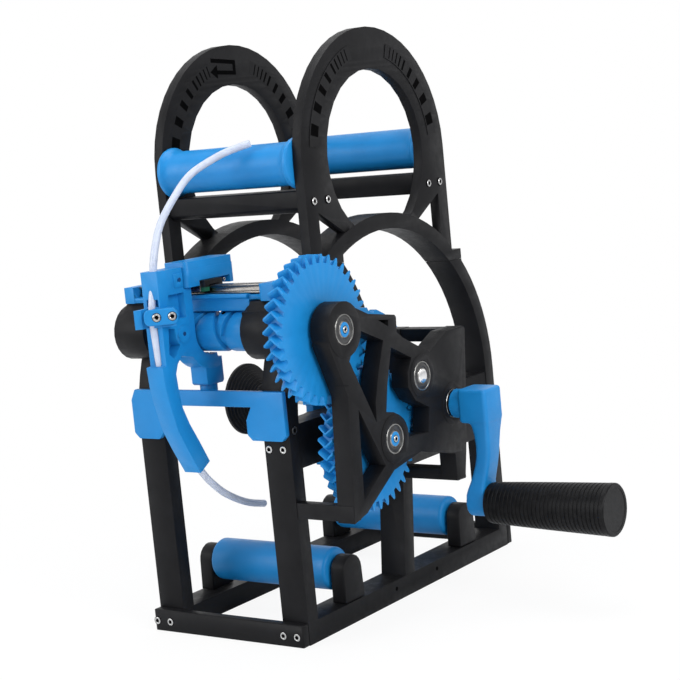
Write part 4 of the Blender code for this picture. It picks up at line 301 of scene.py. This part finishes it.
def layer_lines(graph, axis, pitch):
    """Fine parallel lines of a printed piece, stacked along one axis."""
    wave = graph.add("ShaderNodeTexWave", {"Vector": graph.place}, wave_type="BANDS",
                     bands_direction=axis, wave_profile="SIN")
    wave.inputs["Scale"].default_value = math.tau / (20.0 * pitch)
    wave.inputs["Distortion"].default_value = 0.25
    wave.inputs["Detail"].default_value = 1.0
    wave.inputs["Detail Scale"].default_value = 0.02
    return wave.outputs["Fac"]


def printed_plastic(name, dark, light, axis, gloss, shine):
    """Satin printed plastic: soft mottling, fine grain and layer lines along its axis."""
    graph = Graph(name)
    colour = graph.ramp(graph.noise(38.0, 4.0), dark, light, 0.3, 0.7)
    rough = graph.levels(graph.noise(160.0, 3.0), gloss - 0.06, gloss + 0.08)
    normal = graph.bump(layer_lines(graph, axis, 0.0003), 0.00005, 0.30)
    normal = graph.bump(graph.noise(1300.0, 2.0), 0.00007, 0.30, normal)
    graph.set(Base_Color=colour, Roughness=rough, Normal=normal)
    graph.set(Specular_IOR_Level=shine)
    return graph.material


def grained(name, dark, light, gloss, shine, grain, depth):
    """Plain moulded, rubber or painted surface with cloudy colour and a fine grain."""
    graph = Graph(name)
    colour = graph.ramp(graph.noise(grain / 6.0, 3.0), dark, light)
    rough = graph.levels(graph.noise(grain / 3.0, 2.0), gloss - 0.06, gloss + 0.08)
    normal = graph.bump(graph.noise(grain, 2.0), depth, 0.3)
    graph.set(Base_Color=colour, Roughness=rough, Normal=normal)
    graph.set(Specular_IOR_Level=shine)
    return graph.material


def ground_steel(name, axis_scale, gloss, dark=STEEL_DARK, light=STEEL_LIGHT):
    """Ground or drawn steel with fine marks along one direction."""
    graph = Graph(name)
    drawn = graph.noise(420.0, 3.0, 0.6, graph.stretched(axis_scale))
    colour = graph.ramp(drawn, dark, light, 0.3, 0.75)
    rough = graph.levels(graph.noise(90.0, 2.0), gloss - 0.05, gloss + 0.10)
    normal = graph.bump(drawn, 0.00003, 0.4)
    graph.set(Base_Color=colour, Roughness=rough, Normal=normal, Metallic=1.0)
    return graph.material


def tube_plastic():
    """Milky tube: smooth, a little see-through, with faint cloudiness along it."""
    graph = Graph("tube_white")
    colour = graph.ramp(graph.noise(120.0, 3.0), TUBE_DARK, TUBE_LIGHT)
    rough = graph.levels(graph.noise(300.0, 2.0), 0.28, 0.40)
    normal = graph.bump(graph.noise(700.0, 2.0), 0.00003, 0.3)
    graph.set(Base_Color=colour, Roughness=rough, Normal=normal)
    graph.set(Subsurface_Weight=0.25, Subsurface_Scale=0.4)
    graph.set(Subsurface_Radius=(0.004, 0.004, 0.005))
    return graph.material


def seal_plastic():
    """End cap of the runner: a green wiper below a dark cap, told apart by height."""
    graph = Graph("seal_green")
    split = graph.add("ShaderNodeSeparateXYZ", {"Vector": graph.place})
    share = graph.levels(split.outputs["Z"], 0.0, 1.0, SEAL_SPLIT_Z - 0.0001, SEAL_SPLIT_Z)
    green = graph.ramp(graph.noise(200.0, 3.0), SEAL_DARK, SEAL_LIGHT)
    cap = graph.ramp(graph.noise(220.0, 3.0), BLACK_DARK, BLACK_LIGHT)
    mix = graph.add("ShaderNodeMixRGB", {"Fac": share, "Color1": green, "Color2": cap})
    rough = graph.levels(graph.noise(400.0, 2.0), 0.38, 0.52)
    normal = graph.bump(graph.noise(1200.0, 2.0), 0.00004, 0.3)
    graph.set(Base_Color=mix.outputs["Color"], Roughness=rough, Normal=normal)
    graph.set(Specular_IOR_Level=0.25)
    return graph.material


BLACK = printed_plastic("black_printed", BLACK_DARK, BLACK_LIGHT, "X", 0.44, 0.13)
BLUE_X = printed_plastic("blue_printed_x", BLUE_DARK, BLUE_LIGHT, "X", 0.36, 0.25)
BLUE_Z = printed_plastic("blue_printed_z", BLUE_DARK, BLUE_LIGHT, "Z", 0.36, 0.25)
RUBBER = grained("grip_rubber", RUBBER_DARK, RUBBER_LIGHT, 0.40, 0.11, 1400.0, 0.00010)
STEEL = ground_steel("steel_turned", (1.0, 0.6, 0.6), 0.22)
RACE_STEEL = ground_steel("steel_race", (1.0, 0.6, 0.6), 0.20, RACE_DARK, RACE_LIGHT)
POLISHED = ground_steel("steel_polished", (1.0, 1.0, 1.0), 0.10, POLISHED_DARK, POLISHED_LIGHT)
RAIL_STEEL = ground_steel("rail_ground", (0.04, 1.0, 1.0), 0.24, RAIL_DARK, RAIL_LIGHT)
SHIELD = grained("bearing_shield", SHIELD_DARK, SHIELD_LIGHT, 0.35, 0.5, 900.0, 0.00004)
# Near-black painted shade for holes, slots, sockets, head rings and the arrow, also used for the
# gear plate's seam
PAINTED_SHADE_AND_SEAM = grained("painted_shade_and_seam", PAINTED_SHADE_AND_SEAM_DARK, PAINTED_SHADE_AND_SEAM_LIGHT, 0.80, 0.02, 900.0, 0.00004)
# Dark blue painted shade for holes in blue plastic
PAINTED_SHADE_BLUE = grained("blue_painted_shade", PAINTED_SHADE_BLUE_DARK, PAINTED_SHADE_BLUE_LIGHT, 0.60, 0.20, 900.0, 0.00004)
TUBE_WHITE = tube_plastic()
SEAL_GREEN = seal_plastic()

FINISHES = {
    "frame_black": BLACK, "blue_plastic": BLUE_X, "bearing_steel": STEEL,
    "rail_steel": RAIL_STEEL, "tube_white": TUBE_WHITE, "seal_green": SEAL_GREEN,
}
UPRIGHT_LAYERS = ("cam_drum", "roller_", "rail_beam", "crank_arm")
FINE_EDGED = ("_gear", "cam_drum", "_seal", "crank_grip", "spool_cone")


def dress_nodes():
    """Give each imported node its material, rounded edges and smooth shading."""
    slots = {entry["node"]: entry["material_slot"] for entry in frame["record"]["subparts"]}
    for name, obj in NODES.items():
        finish = FINISHES[slots[name]]
        if finish == BLUE_X and name.startswith(UPRIGHT_LAYERS):
            finish = BLUE_Z
        obj.data.materials.clear()
        obj.data.materials.append(finish)
        obj.data.polygons.foreach_set("use_smooth", [True] * len(obj.data.polygons))
        weld = obj.modifiers.new("weld", "WELD")
        weld.merge_threshold = WELD_GAP
        bevel = obj.modifiers.new("edges", "BEVEL")
        fine = any(word in name for word in FINE_EDGED)
        bevel.width = EDGE / 2 if fine else WIDE_EDGES.get(name, EDGE)
        bevel.segments = 2
        bevel.limit_method = "ANGLE"
        bevel.angle_limit = math.radians(EDGE_ANGLE)
        bevel.harden_normals = True


def place(x, y, z):
    """A place of the model's own frame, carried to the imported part's origin."""
    return Vector((x, y + ORIGIN_SHIFT, z))


def spin_skin(bm, outline, closed, index):
    """Rings around the local Z axis; a ring of no radius is a point, a third value a hexagon."""
    rings = []
    for height, radius, *hexed in outline:
        ring = []
        for step in range(1 if radius == 0.0 else SIDES):
            angle = math.tau * step / SIDES
            reach = radius
            if hexed:
                reach /= math.cos((angle + math.pi / 6) % (math.pi / 3) - math.pi / 6)
            spot = (reach * math.cos(angle), reach * math.sin(angle), height)
            ring.append(bm.verts.new(spot))
        rings.append(ring)
    pairs = list(zip(rings, rings[1:]))
    if closed:
        pairs.append((rings[-1], rings[0]))
    for low, high in pairs:
        for step in range(SIDES):
            after = (step + 1) % SIDES
            corners = [low[step % len(low)], low[after % len(low)],
                       high[after % len(high)], high[step % len(high)]]
            face = bm.faces.new(list(dict.fromkeys(corners)))
            face.material_index = index


def add_piece(name, bm, finishes, body, nodes=()):
    """Turn a built mesh into a piece that rides on a body and may stand for nodes."""
    bmesh.ops.recalc_face_normals(bm, faces=bm.faces)
    mesh = bpy.data.meshes.new(name)
    bm.to_mesh(mesh)
    bm.free()
    for finish in finishes:
        mesh.materials.append(finish)
    mesh.polygons.foreach_set("use_smooth", [True] * len(mesh.polygons))
    mesh.set_sharp_from_angle(angle=math.radians(SHARP_ANGLE))
    piece = bpy.data.objects.new(name, mesh)
    bpy.context.scene.collection.objects.link(piece)
    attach(piece, body)
    if nodes:
        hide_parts(*nodes)
    return piece


def turned(name, skins, spot, toward, body, nodes=()):
    """A round piece from outlines of (distance along its axis, radius)."""
    bm = bmesh.new()
    finishes = list(dict.fromkeys(finish for finish, closed, outline in skins))
    for finish, closed, outline in skins:
        spin_skin(bm, outline, closed, finishes.index(finish))
    turn = Vector(toward).to_track_quat("Z", "X").to_matrix().to_4x4()
    bm.transform(Matrix.Translation(place(*spot)) @ turn)
    return add_piece(name, bm, finishes, body, nodes)


def socket_screw(name, spot, toward, body, radius=SCREW_RADIUS, metal=STEEL):
    """Flat-topped socket screw: bevelled head, a hexagonal recess filled with painted shade and a
    dark ring of painted shade around the head.
    """
    rise = SCREW_RISE
    key = radius * 0.52
    head = [(-0.0003, 0.0), (-0.0003, radius), (rise * 0.5, radius), (rise, radius * 0.86)]
    head += [(rise, key * 1.16), (rise * 0.8, key, True)]
    # The socket's dark fill and the flat dark ring around the head are painted shade
    recess = [(rise * 0.8, key, True), (0.0001, key * 0.96, True), (0.0001, 0.0)]
    rim = [(-0.0002, radius * 1.02), (0.00008, radius * 1.02), (0.00008, radius * 1.17),
           (-0.0002, radius * 1.17)]
    skins = [(metal, False, head), (PAINTED_SHADE_AND_SEAM, False, recess), (PAINTED_SHADE_AND_SEAM, True, rim)]
    return turned(name, skins, spot, toward, body)


def painted_hole_shade(name, spot, toward, body, radius, finish):
    """A small dark disc of painted shade where a drilled hole sits, with a softened edge."""
    lip = radius * 1.15
    outline = [(-0.0002, 0.0), (-0.0002, lip), (0.00006, lip), (0.00012, radius), (0.00010, 0.0)]
    return turned(name, [(finish, False, outline)], spot, toward, body)


def race_outline(bore, bore_flat, rim_flat, rim, edge):
    """One race: flat ends, with broken corners at its bore and its rim."""
    wide = BEARING_WIDTH
    return [(0.0, bore_flat), (0.0, rim_flat), (edge, rim), (wide - edge, rim),
            (wide, rim_flat), (wide, bore_flat), (wide - RACE_CORNER, bore), (RACE_CORNER, bore)]


def make_bearing(node, x, y, z):
    """Ball bearing: two ground races with rounded edges around a sunk dark shield."""
    wide = BEARING_WIDTH
    outer = race_outline(*OUTER_RACE)
    inner = race_outline(*INNER_RACE)
    shield = [(0.0006, 0.0059), (0.0006, 0.0097), (wide - 0.0005, 0.0097),
              (wide - 0.0005, 0.0088), (wide - 0.0002, 0.0083), (wide - 0.0002, 0.0070),
              (wide - 0.0005, 0.0066), (wide - 0.0005, 0.0059)]
    skins = [(RACE_STEEL, True, outer), (RACE_STEEL, True, inner), (SHIELD, True, shield)]
    turned(node + "_races", skins, (x, y, z), (1, 0, 0), "frame", [node])


def make_roller(node, half, lip, y, z, body):
    """Round roller with softened ends; a top roller's ends flare into low lips."""
    radius = ROLLER_RADIUS
    if lip:
        end = [(0.0, ROLLER_BORE), (0.0, lip - 0.0012), (0.0005, lip - 0.0003), (0.0013, lip),
               (0.0028, lip), (0.0040, lip - 0.0005), (0.0055, radius + 0.0013),
               (0.0075, radius + 0.0004), (0.0100, radius)]
    else:
        end = [(0.0, ROLLER_BORE), (0.0, radius - 0.0024), (0.0003, radius - 0.0014),
               (0.0010, radius - 0.0006), (0.0020, radius - 0.0001), (0.0030, radius)]
    span = half * 2
    outline = end + [(span - height, reach) for height, reach in reversed(end)]
    turned(node + "_body", [(BLUE_Z, True, outline)], (-half, y, z), (1, 0, 0), body,
           [node])


def make_grip():
    """Ribbed rubber grip that widens outwards and ends in a plain dished disc."""
    outline = [(0.0, 0.0), (0.0, 0.0140), (0.0006, 0.0150)]
    first, last = 0.0016, GRIP_LENGTH - 0.0042
    pitch = (last - first) / GRIP_RIBS
    for rib in range(GRIP_RIBS):
        for part, sink in ((0.0, 0.0006), (0.16, 0.0006), (0.28, 0.0), (0.88, 0.0)):
            height = first + (rib + part) * pitch
            swell = GRIP_START_RADIUS
            swell += (GRIP_END_RADIUS - GRIP_START_RADIUS) * (height / GRIP_LENGTH) ** 0.8
            outline.append((height, swell - sink))
    rim = GRIP_END_RADIUS
    outline += [(last, rim - 0.0006), (last + 0.0003, rim), (GRIP_LENGTH - 0.0008, rim),
                (GRIP_LENGTH, rim - 0.0008), (GRIP_LENGTH, rim - 0.0030),
                (GRIP_LENGTH - 0.0004, rim - 0.0034), (GRIP_LENGTH - 0.0004, 0.0)]
    turned("grip_ribbed", [(RUBBER, False, outline)], (GRIP_START_X, CRANK_Y, GRIP_Z), (1, 0, 0),
           "grip", ["crank_grip"])


def make_cone():
    """Stepped centring cone with fine rings that grips a spool's hub."""
    outline = [(0.0, CONE_BORE), (0.0, CONE_RADIUS - 0.0010), (0.0008, CONE_RADIUS)]
    stepped = CONE_LENGTH - CONE_RIM - CONE_TIP
    for step in range(CONE_STEPS):
        height = CONE_RIM + stepped * step / CONE_STEPS
        flat_end = CONE_RIM + stepped * (step + 0.62) / CONE_STEPS
        swell = CONE_RADIUS - (CONE_RADIUS - CONE_TIP_RADIUS) * step / (CONE_STEPS - 1)
        outline += [(height, swell), (flat_end, swell), (flat_end + 0.0003, swell - CONE_NOTCH)]
    outline += [(CONE_LENGTH, CONE_TIP_RADIUS - 0.0014), (CONE_LENGTH, CONE_BORE)]
    turned("cone_ringed", [(BLACK, True, outline)], (CONE_START_X, CRANK_Y, CRANK_Z), (1, 0, 0),
           "cone", ["spool_cone"])


def flat_shapes(name, shapes, spot, across, up, body, nodes=()):
    """Thin sheets on one face: each has a finish, a thickness and a flat outline."""
    across, up = Vector(across), Vector(up)
    out = across.cross(up)
    base = place(*spot)
    bm = bmesh.new()
    finishes = list(dict.fromkeys(finish for finish, thickness, outline in shapes))
    for finish, thickness, outline in shapes:
        sides = []
        for offset in (-thickness / 2, thickness / 2):
            sides.append([bm.verts.new(base + across * u + up * v + out * offset)
                          for u, v in outline])
        faces = [bm.faces.new(sides[0]), bm.faces.new(sides[1])]
        for step in range(len(outline)):
            after = (step + 1) % len(outline)
            faces.append(bm.faces.new((sides[0][step], sides[0][after],
                                       sides[1][after], sides[1][step])))
        for face in faces:
            face.material_index = finishes.index(finish)
    return add_piece(name, bm, finishes, body, nodes)


def arc_patch(inner, outer, start, end, steps):
    """Outline of a piece of a ring; angles run in degrees from straight up."""
    outline = []
    for radius, order in ((outer, range(steps + 1)), (inner, range(steps, -1, -1))):
        for step in order:
            angle = math.radians(start + (end - start) * step / steps)
            outline.append((radius * math.sin(angle), radius * math.cos(angle)))
    return outline


def rounded_block(low, high, radius, steps=5):
    """Rectangle with round corners, counterclockwise."""
    outline = []
    for number, (u, v) in enumerate(((high[0] - radius, high[1] - radius),
                                     (low[0] + radius, high[1] - radius),
                                     (low[0] + radius, low[1] + radius),
                                     (high[0] - radius, low[1] + radius))):
        for step in range(steps + 1):
            angle = math.radians(90.0 * (number + step / steps))
            outline.append((u + radius * math.cos(angle), v + radius * math.sin(angle)))
    return outline


def add_arch_marks():
    """Slots that grow down each side of the arches and the turning arrow on one of them, drawn as
    thin sheets of painted shade on a black band.
    """
    for label, face, sign in (("right_outer", FRAME_FACE_X, 1), ("right_inner", ARCH_INNER_X, -1),
                              ("left_inner", -ARCH_INNER_X, 1), ("left_outer", -FRAME_FACE_X, -1)):
        shapes = []
        for side in (-1, 1):
            band = arc_patch(SLOT_INNER - BAND_MARGIN, SLOT_OUTER + BAND_MARGIN,
                             BAND_START * side, BAND_END * side, BAND_STEPS)
            shapes.append((BLACK, BAND_THICKNESS, band))
            # Each slot, and the arrow below, is a thin sheet of painted shade
            for angle, width in SLOTS:
                half = math.degrees(width / 2 / SLOT_MIDDLE)
                slot_shade = arc_patch(SLOT_INNER, SLOT_OUTER, (angle - half) * side,
                                 (angle + half) * side, 2)
                shapes.append((PAINTED_SHADE_AND_SEAM, SLOT_THICKNESS, slot_shade))
        if label == "left_inner":
            shapes.append((PAINTED_SHADE_AND_SEAM, ARROW_THICKNESS, [(u, v - ARCH_Z) for u, v in ARROW]))
        flat_shapes("arch_slot_shade_" + label, shapes, (face, 0.0, ARCH_Z), (0, sign, 0), (0, 0, 1),
                    "frame")


def add_small_marks():
    """The gear plate's seam, the drilled pads with painted shade in their holes, the drum's set
    screw drawn as a disc of painted shade, and the runner's screws.
    """
    seam = [(-SEAM_HALF_LENGTH, -SEAM_HALF_WIDTH), (SEAM_HALF_LENGTH, -SEAM_HALF_WIDTH),
            (SEAM_HALF_LENGTH, SEAM_HALF_WIDTH), (-SEAM_HALF_LENGTH, SEAM_HALF_WIDTH)]
    flat_shapes("plate_seam", [(PAINTED_SHADE_AND_SEAM, SEAM_THICKNESS, seam)], SEAM_SPOT, SEAM_ACROSS, SEAM_UP,
                "frame")
    # Dark blue painted shade in the pads' holes, near-black painted shade at the drum's set screw
    for label, y, z in PAD_HOLES:
        painted_hole_shade(f"pad_hole_shade_{label}", (PAD_FACE_X, y, z), (1, 0, 0), "carriage",
                  PAD_HOLE_RADIUS, PAINTED_SHADE_BLUE)
    painted_hole_shade("drum_set_screw_shade", SET_SCREW_SPOT, SET_SCREW_TOWARD, "drum", HOLE_RADIUS, PAINTED_SHADE_AND_SEAM)
    for number, y in enumerate(RUNNER_SCREW_YS):
        socket_screw(f"runner_screw_{number}", (RUNNER_SCREW_X, y, RUNNER_SCREW_Z), (1, 0, 0),
                     "carriage", RUNNER_SCREW_RADIUS)


def make_clamp():
    """The clamp's rounded plate and its two screws."""
    turn = math.radians(CLAMP_ANGLE)
    along = Vector((math.cos(turn), math.sin(turn), 0.0))
    facing = Vector((math.sin(turn), -math.cos(turn), 0.0))
    outline = rounded_block((-CLAMP_HALF_LENGTH, -CLAMP_HALF_HEIGHT),
                            (CLAMP_HALF_LENGTH, CLAMP_HALF_HEIGHT), CLAMP_CORNER)
    clamp = flat_shapes("clamp_plate", [(BLUE_X, CLAMP_THICKNESS, outline)], CLAMP_SPOT, along,
                        (0, 0, 1), "carriage", ["tube_clamp"])
    bevel = clamp.modifiers.new("edges", "BEVEL")
    bevel.width = CLAMP_EDGE
    bevel.segments = 3
    bevel.limit_method = "ANGLE"
    for number, shift in enumerate(CLAMP_SCREW_SHIFTS):
        spot = Vector(CLAMP_SPOT) + along * shift + facing * CLAMP_THICKNESS / 2
        socket_screw(f"clamp_screw_{number}", spot, facing, "carriage", CLAMP_SCREW_RADIUS)


def add_spare_end():
    """Polished end of the stub that sits in the spare bearing."""
    rim = STUB_RADIUS
    dome = [(0.0, 0.0), (0.0, rim - 0.0002), (0.0004, rim), (0.0008, rim - 0.0002),
            (0.0010, rim - 0.0012), (0.0011, 0.0)]
    turned("spare_stub_end", [(POLISHED, False, dome)], (STUB_X, SPARE_Y, SPARE_Z), (1, 0, 0),
           "frame")


def add_beam_rib():
    """Low rib under the rail's beam, just clear of the drum."""
    outline = rounded_block((RIB_START_X, -RIB_HALF_DEPTH), (RIB_END_X, RIB_HALF_DEPTH),
                            RIB_CORNER)
    flat_shapes("beam_rib", [(BLUE_X, RIB_THICKNESS, outline)], (0.0, DRUM_Y, RIB_Z), (1, 0, 0),
                (0, 1, 0), "frame")


def make_crank_arm():
    """Crank arm: a rounded block, a waisted arm that bends inwards, a round eye and the hub."""
    bm = bmesh.new()
    rings = []
    for z, start, end, half, radius in CRANK_SECTIONS:
        corner = min(radius, half * 0.9)
        ring = rounded_block((start, -half), (end, half), corner)
        rings.append([bm.verts.new(place(x, CRANK_Y + y, z)) for x, y in ring])
    for low, high in zip(rings, rings[1:]):
        for step in range(len(low)):
            after = (step + 1) % len(low)
            bm.faces.new((low[step], low[after], high[after], high[step]))
    bm.faces.new(rings[0])
    bm.faces.new(rings[-1])
    add_piece("crank_arm_body", bm, [BLUE_Z], "crank", ["crank_arm"])
    hub = [(0.0, 0.0), (0.0, HUB_RADIUS - 0.0015), (0.0012, HUB_RADIUS - 0.0001),
           (HUB_LENGTH, HUB_RADIUS), (HUB_LENGTH, 0.0)]
    turned("crank_arm_hub", [(BLUE_X, False, hub)], (HUB_START_X, CRANK_Y, CRANK_Z), (1, 0, 0),
           "crank")


def add_fasteners():
    """Screws, drilled holes drawn as discs of painted shade, and shaft ends, each on the face that
    it is set in.
    """
    for label, sign in (("front", -1), ("rear", 1)):
        for number, x in enumerate(BAR_SCREW_XS):
            socket_screw(f"bar_screw_{label}_{number}", (x, BAR_FACE_Y * sign, BAR_SCREW_Z),
                         (0, sign, 0), "frame")
    for label, sign in (("right", 1), ("left", -1)):
        face = FRAME_FACE_X * sign
        for number, y in enumerate(ARCH_SCREW_YS):
            socket_screw(f"arch_screw_{label}_{number}", (face, y, ARCH_SCREW_Z), (sign, 0, 0),
                         "frame")
        # The base's holes are discs of painted shade
        for number, y in enumerate(BASE_HOLE_YS):
            painted_hole_shade(f"base_hole_shade_{label}_{number}", (face, y, BASE_HOLE_Z), (sign, 0, 0),
                      "frame", HOLE_RADIUS, PAINTED_SHADE_AND_SEAM)
    for number, x in enumerate(LEG_SCREW_XS):
        socket_screw(f"leg_screw_{number}", (x, LEG_FACE_Y, LEG_SCREW_Z), (0, -1, 0), "frame")
    socket_screw("side_bolt", (FRAME_FACE_X, SIDE_BOLT_Y, SIDE_BOLT_Z), (1, 0, 0), "frame",
                 SIDE_BOLT_RADIUS, SHIELD)
    rim, thick = WASHER_RADIUS, WASHER_THICKNESS
    washer = [(0.0, 0.0), (0.0, rim), (thick - 0.0003, rim), (thick, rim - 0.0004), (thick, 0.0)]
    for body, y, z in (("drum", DRUM_Y, DRUM_Z), ("idler", IDLER_Y, IDLER_Z)):
        turned(f"{body}_end_washer", [(BLUE_X, False, washer)], (WASHER_X, y, z), (1, 0, 0),
               body)
        socket_screw(f"{body}_end_screw", (WASHER_X + thick, y, z), (1, 0, 0), body,
                     END_SCREW_RADIUS)


def smooth_route(points, spacing):
    """Places along a smooth curve through the route's points."""
    spots = [Vector(p) for p in points]
    ends = [spots[0] * 2 - spots[1]] + spots + [spots[-1] * 2 - spots[-2]]
    route = []
    for a, b, c, d in zip(ends, ends[1:], ends[2:], ends[3:]):
        pieces = max(1, round((c - b).length / spacing))
        for i in range(pieces):
            t = i / pieces
            bend = b * 2 + (c - a) * t
            bend += (a * 2 - b * 5 + c * 4 - d) * t ** 2
            bend += (b * 3 - a - c * 3 + d) * t ** 3
            route.append(bend / 2)
    route.append(spots[-1])
    return route


def moved(route):
    """A route of the model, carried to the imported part's origin."""
    return [(x, y + ORIGIN_SHIFT, z) for x, y, z in route]


def draw_tube(name, route, node, radius=TUBE_RADIUS):
    """One stretch of the white tube as a round curve that rides on the carriage."""
    path = smooth_route(moved(route), TUBE_RADIUS * 2)
    curve = bpy.data.curves.new(name, "CURVE")
    curve.dimensions = "3D"
    curve.bevel_depth = radius
    curve.bevel_resolution = 6
    curve.use_fill_caps = radius == TUBE_RADIUS
    spline = curve.splines.new("POLY")
    spline.points.add(len(path) - 1)
    for point, spot in zip(spline.points, path):
        point.co = (*spot, 1.0)
    spline.use_smooth = True
    tube = bpy.data.objects.new(name, curve)
    bpy.context.scene.collection.objects.link(tube)
    curve.materials.append(TUBE_WHITE)
    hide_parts(node)
    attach(tube, "carriage")
    return tube, path


def make_tube(name, route, node):
    """A free stretch of the tube."""
    tube, path = draw_tube(name, route, node)


def make_camera():
    """Camera at the photograph's angle; its pose is turned by yaw, pitch and roll."""
    sy, cy = math.sin(CAMERA_YAW), math.cos(CAMERA_YAW)
    sp, cp = math.sin(CAMERA_PITCH), math.cos(CAMERA_PITCH)
    sr, cr = math.sin(CAMERA_ROLL), math.cos(CAMERA_ROLL)
    ahead = Vector((-sy * cp, cy * cp, -sp))
    right = Vector((cy, sy, 0.0))
    down = ahead.cross(right)
    row_right = right * cr + down * sr
    row_down = down * cr - right * sr
    turn = Matrix((row_right, -row_down, -ahead)).transposed()
    data = bpy.data.cameras.new("camera")
    data.lens = CAMERA_LENS
    data.sensor_width = 36.0
    data.sensor_fit = "HORIZONTAL"
    data.clip_end = 20.0
    camera = bpy.data.objects.new("camera", data)
    camera.matrix_world = Matrix.Translation(CAMERA_SPOT) @ turn.to_4x4()
    bpy.context.scene.collection.objects.link(camera)
    bpy.context.scene.camera = camera


def make_light(name, spot, target, size, power):
    """Square area lamp that faces its target."""
    data = bpy.data.lights.new(name, "AREA")
    data.shape = "RECTANGLE"
    data.size = data.size_y = size
    data.energy = power
    light = bpy.data.objects.new(name, data)
    direction = Vector(target) - Vector(spot)
    light.rotation_euler = direction.to_track_quat("-Z", "Y").to_euler()
    light.location = spot
    bpy.context.scene.collection.objects.link(light)


def make_stage():
    """White studio: an even surround and a pale floor that keeps a faint shadow."""
    scene = bpy.context.scene
    scene.view_settings.view_transform = "Standard"
    world = bpy.data.worlds.new("studio")
    scene.world = world
    world.use_nodes = True
    tree = world.node_tree
    backdrop = tree.nodes["Background"]
    backdrop.inputs["Color"].default_value = WHITE
    backdrop.inputs["Strength"].default_value = 1.0
    soft = tree.nodes.new("ShaderNodeBackground")
    soft.inputs["Color"].default_value = SOFT_COLOUR
    soft.inputs["Strength"].default_value = SOFT_STRENGTH
    rays = tree.nodes.new("ShaderNodeLightPath")
    seen = tree.nodes.new("ShaderNodeMath")
    seen.operation = "MAXIMUM"
    tree.links.new(rays.outputs["Is Camera Ray"], seen.inputs[0])
    tree.links.new(rays.outputs["Is Transmission Ray"], seen.inputs[1])
    both = tree.nodes.new("ShaderNodeMath")
    both.operation = "MAXIMUM"
    tree.links.new(seen.outputs[0], both.inputs[0])
    tree.links.new(rays.outputs["Is Glossy Ray"], both.inputs[1])
    mix = tree.nodes.new("ShaderNodeMixShader")
    tree.links.new(both.outputs[0], mix.inputs[0])
    tree.links.new(soft.outputs[0], mix.inputs[1])
    tree.links.new(backdrop.outputs[0], mix.inputs[2])
    tree.links.new(mix.outputs[0], tree.nodes["World Output"].inputs["Surface"])

    mesh = bpy.data.meshes.new("floor")
    bm = bmesh.new()
    bmesh.ops.create_grid(bm, x_segments=1, y_segments=1, size=FLOOR_SIZE)
    bm.to_mesh(mesh)
    bm.free()
    floor = bpy.data.objects.new("floor", mesh)
    floor.location = FLOOR_SPOT
    scene.collection.objects.link(floor)
    graph = Graph("floor_white")
    tint = graph.ramp(graph.noise(3.0, 2.0), FLOOR_DARK, FLOOR_LIGHT)
    graph.set(Base_Color=tint, Roughness=0.8)
    glow = graph.add("ShaderNodeEmission", Color=WHITE, Strength=1.0)
    path = graph.add("ShaderNodeLightPath")
    away = graph.add("ShaderNodeVectorMath", {0: graph.place}, operation="LENGTH")
    fade = graph.levels(away.outputs["Value"], FADE_LOW, FADE_HIGH, FADE_START, FADE_END)
    amount = graph.times(path.outputs["Is Camera Ray"], fade)
    joined = graph.add("ShaderNodeMixShader", {0: amount, 1: graph.shader.outputs[0],
                                               2: glow.outputs[0]})
    graph.tree.links.new(joined.outputs[0], graph.tree.nodes["Material Output"].inputs[0])
    mesh.materials.append(graph.material)

    for lamp in LAMPS:
        make_light(*lamp)


make_camera()
make_tube("guide_tube_upper", UPPER_ROUTE, "tube_upper")
make_tube("guide_tube_lower", LOWER_ROUTE, "tube_lower")
draw_tube("guide_tube_held", HELD_ROUTE, "tube_held", TUBE_RADIUS + HELD_EXTRA)
dress_nodes()
for bearing in BEARINGS:
    make_bearing(*bearing)
for roller in ROLLERS:
    make_roller(*roller)
make_grip()
make_cone()
make_crank_arm()
add_fasteners()
add_arch_marks()
add_small_marks()
make_clamp()
add_spare_end()
add_beam_rib()
make_stage()
